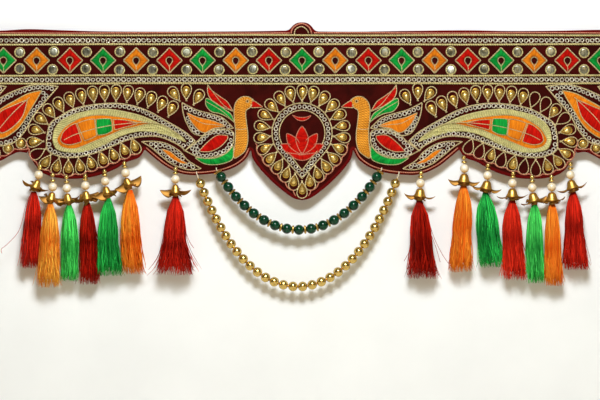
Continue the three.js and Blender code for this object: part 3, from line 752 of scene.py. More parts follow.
class Material(Nodes):
    """A material's nodes with its shader, and its object and UV coordinates. The sockets' values are
    the same all over the surface."""

    def __init__(self, name, **sockets):
        self.made = bpy.data.materials.new(name)
        self.made.use_nodes = True
        super().__init__(self.made.node_tree)
        self.shader = self.tree.nodes["Principled BSDF"]
        for key, value in sockets.items():
            self.fill(self.shader.inputs[key.replace("_", " ")], value)
        coordinates = self.new("ShaderNodeTexCoord").outputs
        self.place, self.uv = coordinates["Object"], coordinates["UV"]

    def dressed(self, colour, height, distance, strength=1.0, rough=None):
        """The material, with its colour, a bump and perhaps a roughness."""
        self.fill(self.shader.inputs["Base Color"], colour)
        if rough is not None:
            self.fill(self.shader.inputs["Roughness"], rough)
        self.fill(self.shader.inputs["Normal"], self.out(
            "ShaderNodeBump", 0, {"Height": height, "Distance": distance, "Strength": strength}))
        return self.made


def group(name, vector, values, outputs):
    """An empty shader node group with a vector input, float inputs and float outputs: its nodes, its
    inputs and the sockets that take its results."""
    tree = bpy.data.node_groups.new(name, "ShaderNodeTree")
    tree.interface.new_socket(vector, in_out="INPUT", socket_type="NodeSocketVector")
    for key, value in values.items():
        socket = tree.interface.new_socket(key, in_out="INPUT", socket_type="NodeSocketFloat")
        socket.default_value = value
    for key in outputs:
        tree.interface.new_socket(key, in_out="OUTPUT", socket_type="NodeSocketFloat")
    n = Nodes(tree)
    return n, n.new("NodeGroupInput").outputs, n.new("NodeGroupOutput").inputs


def thread_turns():
    """Turns of a laid or twisted thread: slanting stripes from the length and the way round, with
    uneven brightness from turn to turn. Its Shade is painted light: brighter on the crest of each
    turn, a painted highlight, and darker in the groove between turns, painted shade."""
    n, given, put = group("thread turns", "UV", {"Turns": 40.0, "Slant": 1.0, "Uneven": 0.5},
                          ("Height", "Shade"))
    along, around, _ = n.split(given["UV"])
    phase = n.plus(n.times(along, given["Turns"]), n.times(around, given["Slant"]))
    height = n.span(n.math("SINE", n.times(phase, TURN)), -1, 1)
    rough = n.noise(n.stretched(given["UV"], (60.0, 6.0, 1.0)), 1.0, 3.0)
    uneven = n.times(n.math("SUBTRACT", rough, 0.5), given["Uneven"])
    # Painted highlight on the crests and painted shade in the grooves, with chance unevenness
    shade = n.plus(uneven, n.span(height, 0, 1, 0.62, 1.0))
    n.fill(put["Height"], height)
    n.fill(put["Shade"], n.math("MAXIMUM", shade, 0.0))
    return n.tree


def tarnish():
    """Dark, dull patches by chance, from noise in the object's space."""
    n, given, put = group("tarnish", "Place", {"Scale": 220.0, "Amount": 0.4}, ("Mask",))
    cloud = n.noise(given["Place"], given["Scale"], 4.0, 0.6)
    n.fill(put["Mask"], n.math("MULTIPLY", n.span(cloud, 0.42, 0.68), given["Amount"], clamp=True))
    return n.tree


def satin_rows():
    """Satin stitch: fine threads across the shape, in groups of uneven brightness that stands in for
    the light they catch, a painted sheen, with a slight zigzag where two rows of stitches meet. By
    Stripe, Shade also holds painted shade between the fine stitches."""
    n, given, put = group("satin rows", "UV", {"Threads": 90.0, "Zigzag": 0.0, "Stripe": 0.0},
                          ("Height", "Shade"))
    length, across, _ = n.split(given["UV"])
    along = n.plus(length, n.times(n.math("PINGPONG", across, 0.022), given["Zigzag"]))
    place = n.out("ShaderNodeCombineXYZ", 0, {0: n.times(along, 70.0), 1: n.times(across, 7.0)})
    groups = n.noise(place, 1.0, 3.0, 0.65)
    fine = n.span(n.math("SINE", n.times(n.times(along, given["Threads"]), TURN)), -1, 1)
    n.fill(put["Height"], n.plus(n.times(fine, 0.4), n.times(groups, 0.9)))
    # Shade: painted sheen of the groups, and by Stripe painted shade between the stitches
    n.fill(put["Shade"], n.blend(given["Stripe"], n.span(groups, 0.32, 0.68), fine))
    return n.tree


THREAD_TURNS, TARNISH, SATIN_ROWS = thread_turns(), tarnish(), satin_rows()


def metal_thread(name, bright, dark, turns=38.0, metal=0.75, rough=0.38):
    """Zari and other metal thread: wound turns with a painted shine, painted shade between them, a little
    tarnished.
    """
    n = Material(name, Metallic=metal)
    twist = n.placed(THREAD_TURNS, UV=n.uv, Turns=turns, Slant=1.0, Uneven=0.7)
    dull = n.placed(TARNISH, Place=n.place, Scale=260.0, Amount=0.55)["Mask"]
    # shine: the painted highlight and shade of the turns, duller where tarnished
    shine = n.math("SUBTRACT", twist["Shade"], n.times(dull, 0.5), clamp=True)
    return n.dressed(n.mix(shine, dark, bright), twist["Height"], 0.0004,
                     rough=n.span(dull, 0, 1, rough, rough + 0.25))


def satin(name, light, deep, zigzag=0.0, threads=90.0, stripe=0.0):
    """Silk floss in satin stitch: fine threads, soft sheen, and painted sheen and painted shade from
    thread group to thread group.
    """
    n = Material(name, Specular_IOR_Level=0.4, Specular_Tint=light)
    rows = n.placed(SATIN_ROWS, UV=n.uv, Threads=threads, Zigzag=zigzag, Stripe=stripe)
    cloud = n.span(n.noise(n.place, 90.0), 0.35, 0.7)
    # tone: the rows' painted sheen and shade, with a chance cloud of the floss's own colour
    tone = n.plus(n.times(rows["Shade"], 0.75), n.times(cloud, 0.25))
    return n.dressed(n.mix(tone, deep, light), rows["Height"], 0.0006,
                     rough=n.span(rows["Shade"], 0, 1, 0.52, 0.36))


def silk(name, light, deep):
    """Tassel silk: each strand's tone comes from the mesh and holds painted highlight and shade, with
    fine streaks along it that paint a sheen.
    """
    n = Material(name, Specular_IOR_Level=0.8, Specular_Tint=light)
    streak = n.noise(n.stretched(n.place, (420.0, 420.0, 26.0)), 1.0, 3.0, 0.6)
    # Painted sheen: fine streaks along the strands brighten the tone
    tone = n.plus(n.times(n.attribute("tone"), 0.72), n.times(n.span(streak, 0.35, 0.68), 0.28))
    return n.dressed(n.mix(tone, deep, light), streak, 0.0003, rough=n.span(streak, 0.3, 0.7, 0.4, 0.26))


def velvet():
    """Dark velvet: short pile with soft sheen, brushed patches, and a redder, brighter margin
    outside the edge cord, where the pile stands open: its redder colour is the open pile's own,
    its brightness is painted light on that pile."""
    n = Material("velvet", Roughness=0.95, Specular_IOR_Level=0.05, Sheen_Weight=0.06,
                 Sheen_Roughness=0.5, Sheen_Tint=(190, 50, 50))
    pile = n.noise(n.place, 2600.0, 2.0, 0.7)
    brushed = n.noise(n.place, 42.0, 3.0, 0.6, 0.6)
    field = n.mix(n.span(brushed, 0.35, 0.7), (46, 8, 5), (72, 13, 9))
    # Painted light: the margin outside the edge cord is brighter than the field, for the light on its open
    # pile
    margin = n.mix(pile, (78, 8, 9), (124, 18, 18))
    way_in = n.plus(n.attribute("rim"), n.times(pile, 0.8))
    # edge: the mask of the margin and its painted light
    edge = n.math("SUBTRACT", 1.0, n.span(way_in, MARGIN - 0.4, MARGIN + 0.6))
    colour = n.mix(n.times(pile, 0.35), n.mix(edge, field, margin), (24, 3, 3))
    return n.dressed(colour, pile, 0.0004, 0.7)


def backing():
    """Plain woven backing cloth: the sines of x and z, multiplied, cross the threads, and a cloud of
    wear lies over them."""
    n = Material("backing", Roughness=0.9, Sheen_Weight=0.1)
    x, _, z = n.split(n.place)
    warp, weft = (n.math("SINE", n.times(way, 7400.0)) for way in (x, z))
    weave = n.span(n.times(warp, weft), -1, 1)
    tone = n.plus(n.times(weave, 0.5), n.times(n.noise(n.place, 30.0, 3.0), 0.5))
    return n.dressed(n.mix(tone, (98, 34, 34), (146, 62, 58)), weave, 0.0002, 0.6)


def set_gold():
    """Gold stones in their collars, lightly pitted: painted highlight brightening each dome towards its
    top, and painted shade in the groove round each.
    """
    n = Material("set gold", Metallic=0.75, Specular_Tint=(170, 140, 90))
    rise = n.split(n.uv)[1]
    from_groove = n.math("ABSOLUTE", n.math("SUBTRACT", rise, 0.4))
    # Painted shade in the groove between the collar and the dome
    groove = n.math("SUBTRACT", 1.0, n.span(from_groove, 0.02, 0.13))
    dull = n.placed(TARNISH, Place=n.place, Scale=330.0, Amount=0.6)["Mask"]
    # Painted highlight: the dome is paler towards its top
    gold = n.mix(n.span(rise, 0.4, 1.0), (206, 166, 76), (250, 226, 146))
    colour = n.mix(n.times(groove, 0.85), n.mix(dull, gold, (120, 92, 36)), (48, 34, 10))
    return n.dressed(colour, n.noise(n.place, 700.0), 0.00004, 0.4, n.span(dull, 0, 1, 0.24, 0.4))


def looking_glass():
    """Small round mirrors: grey, a little scratched and clouded."""
    n = Material("looking glass", Metallic=0.8)
    cloud = n.noise(n.place, 160.0, 3.0, 0.6)
    scratch = n.noise(n.stretched(n.place, (900.0, 900.0, 90.0)), 1.0)
    colour = n.mix(n.span(cloud, 0.35, 0.65), (84, 84, 70), (176, 176, 156))
    return n.dressed(colour, cloud, 0.0002, 0.4, n.span(scratch, 0.4, 0.7, 0.22, 0.4))


def pearl():
    """Ivory pearl beads under a clear coat: milky, warmer at chance patches, and browner towards the
    lower hole, a painted gold reflection and painted shade of the cap below."""
    n = Material("pearl", Roughness=0.34, Specular_IOR_Level=1.0, Coat_Weight=1.0, Coat_Roughness=0.22)
    milk = n.mix(n.span(n.noise(n.place, 140.0, 3.0), 0.3, 0.8), (244, 234, 212), (228, 208, 170))
    # Painted reflection and shade: the lower part of the pearl turns golden brown, as from the cap under
    # it
    colour = n.mix(n.span(n.attribute("low"), 0.0, 0.75), milk, (214, 166, 84))
    return n.dressed(colour, n.noise(n.place, 700.0), 0.00002, 0.3)


def emerald_bead():
    """Dark green glass beads: deep colour with lighter veins, glossy."""
    n = Material("emerald bead", Roughness=0.2, Specular_IOR_Level=0.3, Coat_Weight=0.15,
                 Coat_Roughness=0.05)
    vein = n.noise(n.place, 240.0, 4.0, 0.6, 1.2)
    return n.dressed(n.mix(n.span(vein, 0.4, 0.66), (0, 42, 25), (0, 66, 42)), vein, 0.00004, 0.3)


def plated(name, light, deep, rough=0.22, scale=300.0, amount=0.45, worn=False):
    """Gold plate on beads, spacers and caps: polished, with brown tarnish in patches, and where the
    shape says so, brown all over as painted shade."""
    n = Material(name, Metallic=0.92, Specular_Tint=(128, 96, 52))
    dull = n.placed(TARNISH, Place=n.place, Scale=scale, Amount=amount)["Mask"]
    # The cap's painted shade darkens towards brown, as tarnish does
    if worn:
        dull = n.math("MAXIMUM", dull, n.attribute("worn"))
    return n.dressed(n.mix(dull, light, deep), n.noise(n.place, 1100.0), 0.00008, 0.5,
                     n.span(dull, 0, 1, rough, rough + 0.22))


def cotton(name, light, deep):
    """Cream cotton thread: twisted, dull, with painted highlight and shade along its turns."""
    n = Material(name, Roughness=0.8, Sheen_Weight=0.2)
    twist = n.placed(THREAD_TURNS, UV=n.uv, Turns=90.0, Slant=1.0, Uneven=0.4)
    return n.dressed(n.mix(twist["Shade"], deep, light), twist["Height"], 0.0002)


def plaster(name, light, deep):
    """Pale plaster of the backdrop and the floor: nearly even, with a faint grain. It is seen from
    its front only, and the light behind it reaches the back of the cloth."""
    n = Material(name, Roughness=0.9, Specular_IOR_Level=0.1)
    grain = n.span(n.noise(n.place, 14.0, 4.0), 0.3, 0.7)
    n.fill(n.shader.inputs["Base Color"], n.mix(grain, deep, light))
    behind = n.new("ShaderNodeNewGeometry").outputs["Backfacing"]
    shadow = n.new("ShaderNodeLightPath").outputs["Is Shadow Ray"]
    clear = n.new("ShaderNodeBsdfTransparent").outputs[0]
    either = n.out("ShaderNodeMixShader", 0, {0: n.math("MAXIMUM", behind, shadow),
                                              1: n.shader.outputs[0], 2: clear})
    n.fill(n.tree.nodes["Material Output"].inputs["Surface"], either)
    return n.made


VELVET = velvet()
BACKING = backing()
ZARI = metal_thread("pale zari", (232, 214, 162), (100, 80, 46))
RINGS = metal_thread("ring zari", (255, 250, 232), (116, 104, 80), 60.0, 0.72, 0.28)
STRIP = metal_thread("strip zari", (226, 210, 146), (84, 70, 34), 42.0, 0.55)
LIME = metal_thread("lime zari", (222, 214, 146), (112, 104, 54), 42.0, 0.5, 0.42)
EDGE = metal_thread("copper cord", (226, 146, 116), (112, 46, 34), 44.0, 0.55)
RED = satin("red floss", (222, 30, 18), (128, 6, 6))
ORANGE = satin("orange floss", (246, 148, 34), (186, 84, 10))
GREEN = satin("green floss", (30, 182, 70), (2, 84, 30))
NECK_FLOSS = satin("neck floss", (246, 170, 58), (136, 62, 10), zigzag=1.0, threads=40.0, stripe=0.9)
SET_GOLD = set_gold()
GLASS = looking_glass()
PEARL = pearl()
EMERALD = emerald_bead()
GOLD_BEAD = plated("gold bead", (228, 198, 120), (146, 112, 50), 0.2, amount=0.3)
SPACER = plated("gold spacer", (206, 168, 96), (96, 66, 28), 0.26, 900.0)
CAP_GOLD = plated("cap gold", (226, 180, 88), (136, 88, 42), 0.36, 240.0, 0.6, True)
COTTON = cotton("cream thread", (238, 228, 200), (196, 176, 136))
# Tassel silks: the slot and the finish
SILKS = {
    name: (slot, silk(name + " silk", light, deep))
    for name, slot, light, deep in (
        ("red", "red_silk", (236, 48, 30), (92, 6, 6)),
        ("crimson", "dark_silk", (200, 36, 20), (64, 4, 4)),
        ("scarlet", "red_silk", (255, 60, 36), (134, 10, 8)),
        ("amber", "orange_silk", (255, 196, 76), (216, 86, 8)),
        ("orange", "orange_silk", (255, 160, 52), (210, 62, 4)),
        ("green", "green_silk", (96, 248, 116), (4, 104, 34)),
        ("emerald", "green_silk", (58, 218, 96), (2, 66, 26)),
    )
}

# The camera, straight on through a long lens, and the cords of the two swags come first

CAMERA_X, CAMERA_Z, CAMERA_WAY = -2.0, -168.0, 3000.0
# How far in front of the origin one pixel of the photo is one millimetre
TRUE_PLANE = 5.0
PHOTO_WIDTH = 600.0

camera_data = bpy.data.cameras.new("camera")
camera_data.sensor_width = 36.0
camera_data.lens = camera_data.sensor_width * (CAMERA_WAY - TRUE_PLANE) / PHOTO_WIDTH
camera = link("camera", camera_data)
camera.location = (CAMERA_X * MM, -CAMERA_WAY * MM, CAMERA_Z * MM)
camera.rotation_euler = (math.pi / 2, 0, 0)
bpy.context.scene.camera = camera


def middle_y(node):
    """The middle of a CAD node's box in y, in millimetres."""
    low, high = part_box(node)
    return (low[1] + high[1]) / 2 / MM


def catenary(swag, y):
    """The hung line of a swag: z is a cosh(x / a), with a found by halving from the span and the
    sag. Gives a function of the arc length, and half the whole length."""
    half = (swag["right"] - swag["left"]) / 2
    middle = (swag["right"] + swag["left"]) / 2
    low, high = half / 20, half * 20
    for _ in range(80):
        a = (low + high) / 2
        if a * (math.cosh(half / a) - 1) > swag["sag"]:
            low = a
        else:
            high = a
    a = (low + high) / 2

    def at(s):
        x = a * np.arcsinh(np.asarray(s, float) / a)
        z = swag["top"] - swag["sag"] + a * (np.cosh(x / a) - 1)
        return np.stack([middle + x, np.full_like(x, y), z], -1)

    return at, a * math.sinh(half / a)


def swag_cord(name, swag):
    """The thread of a swag, from the cloth, along the catenary and back to the cloth."""
    y = middle_y(name)
    at, half = catenary(swag, y)
    start, end = ([[swag[side], y, swag["top"] + THREAD_RISE]] for side in ("left", "right"))
    path = np.vstack([start, at(np.linspace(-half, half, 61)), end])
    return add_piece(name + "_thread", strand(path, THREAD_R, 8), COTTON, "pearls", (name,)), path


RONDELLE = [[0, -1.3], [2.2, -1.3], [3.6, -1.0], [4.2, -0.35], [4.2, 0.35], [3.6, 1.0], [2.2, 1.3],
            [0, 1.3]]
# name, numbers, bead, its finish and slot, spacer, whether the spacer is smooth
SWAGS = [
    ("green_swag", GREEN_SWAG, ball(GREEN_SWAG["bead"], 20, 11, 0.25), EMERALD, "green_beads",
     turned(RONDELLE, 14), False),
    ("gold_swag", GOLD_SWAG, ball(GOLD_SWAG["bead"], 18, 9, 0.2), GOLD_BEAD, "gold_beads",
     ball(1.15, 8, 3), True),
]
swag_threads = [swag_cord(name, swag) for name, swag, *_ in SWAGS]
for (name, swag, bead, finish, slot, spacer, even), (thread, path) in zip(SWAGS, swag_threads):
    at, half = catenary(swag, middle_y(name))
    start = swag["lead"] - half
    pitch = (2 * half - 2 * swag["lead"]) / swag["beads"]
    strung = []
    for shape, s in ((bead, start + (np.arange(swag["beads"]) + 0.5) * pitch),
                     (spacer, start + np.arange(swag["beads"] + 1) * pitch)):
        ahead = at(s + 0.5) - at(s - 0.5)
        slope = np.arctan2(ahead[:, 2], ahead[:, 0])
        strung.append(copies(shape, at(s), turns_about(1, slope - math.pi / 2)))
    beads = add_piece(name + "_beads", strung[0], finish, slot)
    spacers = add_piece(name + "_spacers", strung[1], SPACER, "gold_beads", smooth_faces=even)
    length = arc(path)[-1]


# The panel

def round_line_z(x):
    """The wavy line of the round stones near the ends: a cosine with the pitch of the leaves."""
    return ROUND_LINE_Z + ROUND_LINE_SWING * np.cos(TURN * (x - FIRST_ROUND_X) / LEAF_PITCH)


def lower_edge():
    """The cut lower edge of the right half, from the middle to the end."""
    x = np.arange(PAISLEY_EDGE[-1][0], HALF_WIDTH - 6, LEAF_PITCH / 6)
    z = round_line_z(x) - EDGE_BELOW_ROUNDS
    corner = [[HALF_WIDTH - 1.8, z[-1] + 1.8], [HALF_WIDTH, z[-1] + 6]]
    end = np.vstack([np.column_stack([x, z]), corner[:1]])
    return np.vstack([*(smooth(part)[:-1] for part in (HEART_EDGE, BIRD_EDGE, PAISLEY_EDGE, end)), corner])


def panel_shape():
    """The velvet: for each x a closed section from the top edge down the face, round the lower edge
    and up the back. The face thins at the rounded edges by the 14th power of the way from the
    middle. Gives the shape, each point's way in from the outline, and the two edges."""
    lower = lower_edge()
    whole = np.vstack([both(lower)[1][::-1][:-1], lower])
    top = smooth(TOP_EDGE)
    x = np.linspace(-HALF_WIDTH, HALF_WIDTH, 913)
    high = np.interp(x, top[:, 0], top[:, 1])
    low = np.interp(x, whole[:, 0], whole[:, 1])
    ease = np.linspace(0, 1, 34)
    v = np.concatenate([[0.0], 0.004 + 0.992 * ease, [1.0], np.linspace(0.985, 0.015, 5)])
    thick = np.clip(1.35 - np.abs(ease - 0.5) ** 14 * 9000, 0.72, 1.0)
    depth = np.concatenate([[0.5], thick, [0.5], np.zeros(5)])
    z = high[:, None] * (1 - v) + low[:, None] * v
    x = np.repeat(x[:, None], len(v), axis=1)
    back = lean(x, z)
    rings = np.stack([x, back + (face(x, z) - back) * depth, z], -1)[None]
    shape = sweep(rings, (x[:, 0] - x[0, 0])[None] * UV_MM, v, *tube_ends(rings))
    outline = resample(np.vstack([top, whole[::-1]]), step=1.5, closed=True)
    return shape, distance_to(shape[0][:, [0, 2]], outline), whole, top


velvet_shape, rim, edge_line, top_line = panel_shape()
panel = add_piece("velvet_cloth", velvet_shape, VELVET, "velvet", ("velvet_panel",), {"rim": rim})
panel.data.materials.append(BACKING)
facing = np.zeros(len(panel.data.polygons) * 3)
panel.data.polygons.foreach_get("normal", facing)
panel.data.polygons.foreach_set("material_index", (facing[1::3] > 0.5).astype(np.int32))

# The embroidery: by key, the name and finish of its piece. Shapes gather in work under the same key
EMBROIDERY = {
    "zari": ("zari_cords", ZARI), "rings": ("zari_rings", RINGS), "strip": ("zari_strips", STRIP),
    "lime": ("lime_filling", LIME), "edge": ("edge_cords", EDGE), "red": ("red_floss", RED),
    "orange": ("orange_floss", ORANGE), "green": ("green_floss", GREEN),
    "neck": ("neck_floss", NECK_FLOSS), "gold": ("set_stones", SET_GOLD),
    "mirror": ("round_mirrors", GLASS), "stitch": ("bird_eyes", VELVET),
    "cotton": ("back_stitches", COTTON),
}
work = {key: [] for key in EMBROIDERY}
# The broad plaited cord of the bands
PLAIT = {"sides": 8, "flat": 0.6, "pitch": 2.4, "depth": 0.26}


def lay(key, line, r, lift=None, **more):
    """Adds a cord on the cloth to the work."""
    work[key].append(cord(line, r, lift, **more))


ring_circle = circle(0, 0, RING_R, 11)
RING = tubes(np.insert(ring_circle, 1, 0, axis=1)[None], RING_THREAD_R, 5, closed=True)


def add_rings(places, size=1.0):
    """Rings at flat places, each a little tilted and its own size."""
    offsets = on_cloth(places, 0.75)
    n = len(offsets)
    offsets[:, [0, 2]] += random.uniform(-0.22, 0.22, (n, 2))
    work["rings"].append(copies(RING, offsets, tilts(n, 0.5), size * random.uniform(0.9, 1.12, n)))


def fill_rings(outer, hole, first, step=4.4, pitch=4.9, clear=2.3):
    """Rows of rings inside a closed outline, each row step further in, clear of the hole and of the
    rings that are there already."""
    inward = left_normals(outer, closed=True)
    if not inside(outer[:1] + inward[:1], outer)[0]:
        inward = -inward
    kept = np.zeros((0, 2))
    for row in range(5):
        way = first + row * step
        line = outer + inward * way
        good = inside(line, outer) & (distance_to(line, outer) > way - 0.35)
        good &= ~inside(line, hole) & (distance_to(line, hole) > clear)
        for spot in line[good]:
            if not len(kept) or np.min(np.linalg.norm(kept - spot, axis=1)) > 0.88 * pitch:
                kept = np.vstack([kept, spot])
    add_rings(kept)


# The long bands: strips of plaited zari, a row of rings and fine crossing threads between them
for top_z, low_z, ring_z in BANDS:
    x = np.arange(-BAND_END_X, BAND_END_X, 2.0)
    for z in (top_z - BAND_INSET, low_z + BAND_INSET):
        lay("strip", np.column_stack([x, z + 0.25 * np.sin(x / 37 + z)]), STRIP_R, **PLAIT)
    x = np.arange(-BAND_END_X + 3, BAND_END_X - 2, RING_PITCH)
    add_rings(np.column_stack([x, np.full(len(x), ring_z)]), BAND_RING_SIZE)
    x = np.arange(-BAND_END_X + 1, BAND_END_X, RING_PITCH / 2)
    zigzag = ring_z + ZIGZAG_HALF * (1 - 2 * (np.arange(len(x)) % 2))
    work["zari"].append(tubes(on_cloth(np.column_stack([x, zigzag]), 0.35)[None], ZIGZAG_R, 5))

# The vertical bands that close the ends
for side in (-END_BAND_X, END_BAND_X):
    for off in (-END_BAND_HALF, END_BAND_HALF):
        z = np.arange(END_BAND_TOP, END_BAND_LOW, -2.0)
        lay("strip", np.column_stack([np.full(len(z), side + off), z]), STRIP_R, **PLAIT)
    z = np.arange(END_BAND_TOP - 3, END_BAND_LOW + 2, -RING_PITCH)
    add_rings(np.column_stack([np.full(len(z), side), z]), BAND_RING_SIZE)

# Diamonds in floss with a round hole, and their cords
for k in range(-DIAMONDS_PER_SIDE + 1, DIAMONDS_PER_SIDE):
    middle = np.array([k * DIAMOND_PITCH, DIAMOND_Z])
    corners = middle + DIAMOND_HALF * np.array([[1, 0], [0, 1], [-1, 0], [0, -1]])
    outer = resample(corners, count=48, closed=True)
    outer = outer + (middle - outer) * 0.02
    floss_key = ("green", "orange", "red")[k % 3]
    inner = circle(*middle, DIAMOND_HOLE_R, 48)
    work[floss_key].append(ring_pad(inner, middle + (outer - middle) * 0.94, 1.7))
    soft = middle + (resample(corners, count=20, closed=True) - middle) * 0.97
    lay("zari", smooth(soft, 4, closed=True), 0.6, closed=True)
    drop = teardrop(3.3, 6.0, DIAMOND_Z, 40) + [middle[0], 0]
    lay("zari", drop, 0.45, 1.5, closed=True, step=1.0, sides=5)
    lay("zari", middle + [[0, -6], [0.4, -9], [0, -11.6]], 0.36, 1.7, step=1.0, sides=5)

# Mirrors between the diamonds
disc = turned([[0, -0.6], [MIRROR_R, -0.6], [MIRROR_R, 0.45], [MIRROR_R - 0.25, 0.75], [3.1, 0.85],
               [0, 0.9]], 20)
disc = (disc[0][:, [0, 2, 1]] * [1, -1, 1], *disc[1:])
mirror_x = (np.arange(-DIAMONDS_PER_SIDE + 1, DIAMONDS_PER_SIDE - 1) + 0.5) * DIAMOND_PITCH
mirror_spots = np.array([[x, z] for z in MIRROR_ROWS for x in mirror_x])
mirror_spots += random.uniform(-0.7, 0.7, mirror_spots.shape)
offsets = on_cloth(mirror_spots, 0)
work["mirror"].append(copies(disc, offsets, tilts(len(offsets), 0.14)))
for x, z in mirror_spots:
    lay("strip", circle(x, z, MIRROR_LOOP_R, 30), 0.68, 0.6, closed=True, pitch=1.9, depth=0.24)


# Stones and their loops

def drop_outline(length, width, steps):
    """A drop with its point at +X: along is cos t, across is sin t times the sine of half t."""
    t = np.arange(steps) * TURN / steps
    across = np.sin(t) * np.abs(np.sin(t / 2)) ** 1.1
    return np.column_stack([np.cos(t) * length / 2, across * width / 2 / 0.83])


def stone_shape(edge, height):
    """A set stone in an outline: from the outer edge a low collar, a groove, then a dome. The way in
    from the edge goes into v, which the finish reads."""
    share = np.array([1.0, 1.0, 0.86, 0.76, 0.68, 0.5, 0.26])[:, None]
    rise = np.array([-0.2, 0.32, 0.42, 0.22, 0.52, 0.84, 0.97])[:, None] * height
    steps = len(edge)
    rings = np.stack([edge[:, 0] * share, -rise * np.ones(steps), edge[:, 1] * share], -1)[None]
    way_in = np.array([[0.0, 0.1, 0.25, 0.4, 0.55, 0.75, 0.9]])
    ends = np.array([[[0, 0.2 * height, 0]], [[0, -height, 0]]])
    points, quads, tris, quad_uv, tri_uv = sweep(rings, way_in, np.arange(steps) / steps, *ends)
    return points, quads, tris, quad_uv[..., ::-1], tri_uv[..., ::-1]


DROP_STONE = stone_shape(drop_outline(11.4, 8.0, 18), 2.9)
ROUND_STONE = stone_shape(circle(0, 0, 3.8, 16), 2.4)
ROUND_LOOP = circle(0, 0, 5.1, 30)
DROP_LOOP = np.vstack([[[9.6, 0.7]], drop_outline(16.2, 11.2, 40)[1:], [[9.6, -0.7]]]) - [0.6, 0]


def add_stone(x, z, angle, lost=False, pointed=True):
    """A stone, unless it is lost, with the cord loop round it. angle is where its point lies."""
    if not lost:
        shift = random.uniform(-0.7, 0.7, 2)
        spot = [[x + shift[0], face(x, z), z + shift[1]]]
        turn = turns_about(1, angle + random.uniform(-0.12, 0.12))
        form = DROP_STONE if pointed else ROUND_STONE
        work["gold"].append(copies(form, spot, turn, random.uniform(0.94, 1.06, 1)))
    loop = DROP_LOOP if pointed else ROUND_LOOP
    c, s = math.cos(angle), math.sin(angle)
    line = np.column_stack([x + loop[:, 0] * c - loop[:, 1] * s, z + loop[:, 0] * s + loop[:, 1] * c])
    lay("zari", line, LOOP_R, closed=not pointed, step=1.0)


# The heart: outline cords, a row of rings between them, and the stones round it
for r, tip in (HEART["outer"], HEART["inner"]):
    lay("zari", teardrop(r, tip, HEART["z"], 160), 0.62, closed=True)
add_rings(resample(teardrop(*HEART["rings"], HEART["z"], 160), step=RING_PITCH - 0.2, closed=True))
stone_line = teardrop(*HEART["stones"], HEART["z"], 400)
for x, z in resample(stone_line, count=HEART["count"], closed=True):
    below = max(0.0, (HEART["z"] - z) / HEART["stones"][1])
    add_stone(x, z, math.atan2(HEART["z"] + 12 * below - z, -x))

# The stones of the paisleys and the crests, and the round stones
paisley_line = smooth(PAISLEY_STONES, 40)
spots = resample(paisley_line, count=PAISLEY_STONE_COUNT)
ahead = np.gradient(spots, axis=0)
paisley_angles = np.arctan2(-ahead[:, 0], ahead[:, 1])
for flip, lost in ((1, LOST_RIGHT), (-1, LOST_LEFT)):
    for i, ((x, z), angle) in enumerate(zip(spots, paisley_angles)):
        add_stone(flip * x, z, angle if flip == 1 else math.pi - angle, i in lost)
    for x, z, turn in CREST_STONES:
        angle = math.radians(turn)
        add_stone(flip * x, z, angle if flip == 1 else math.pi - angle)
    for x in FIRST_ROUND_X + np.arange(ROUNDS_PER_SIDE) * ROUND_PITCH:
        add_stone(flip * x, round_line_z(x), -math.pi / 2, pointed=False)


# Motifs of floss and ring filling

def part_way(outer, inner, share):
    """The closed line a share of the way from one two-sided outline to another, side by side."""
    first, second = (
        resample(smooth(a), count=90) * (1 - share) + resample(smooth(b), count=90) * share
        for a, b in zip(outer, inner)
    )
    return np.vstack([first, second[::-1][1:-1]])


def outline_cord(sides, r=0.55, key="zari", lift=None):
    """A cord round a two-sided shape, on both halves."""
    for line in both(outline_of(sides)):
        lay(key, line, r, lift, closed=True)


def floss(sides, key, height=1.2, base=0.1, **more):
    """A floss pad on both halves."""
    for pair in zip(*map(both, sides)):
        work[key].append(pad(pair, height, base, **more))


def ring_field(outer, hole, **more):
    """Ring filling round a hole, on both halves."""
    for line, gap in zip(both(outline_of(outer)), both(outline_of(hole))):
        fill_rings(line, gap, **more)


# Paisley
outline_cord(PAISLEY_OUTER, 0.75)
ring_field(PAISLEY_OUTER, PAISLEY_LIME, first=2.5, clear=1.2)
floss(PAISLEY_LIME, "lime", 0.8, slope=0.3)
outline_cord(PAISLEY_LIME, 0.6, "strip")
for share in (0.12, 0.34, 0.56, 0.78):
    for line in both(part_way(PAISLEY_LIME, PAISLEY_BODY, share)):
        lay("lime", line, 0.85, 0.9, closed=True, pitch=2.4, depth=0.26)
floss(PAISLEY_BODY, "orange", 1.3, 0.95)
outline_cord(PAISLEY_BODY, 0.45, "strip", 1.4)
PATCHES = ((PAISLEY_RED_END, "red", 1.0, 20, 0.55), (PAISLEY_GREEN, "green", 1.1, 14, 0.4),
           (PAISLEY_WEDGE, "red", 0.9, 16, 0.55), (PAISLEY_BLOCK, "orange", 1.0, 16, 0.4))
for sides, key, height, steps, slope in PATCHES:
    floss(sides, key, height, 1.9, steps=steps, slope=slope)
for sides, *_ in PATCHES:
    outline_cord(sides, 0.36, lift=2.6)
for line in both(smooth(PAISLEY_VEIN)):
    lay("zari", line, 0.42, 3.0, sides=5)

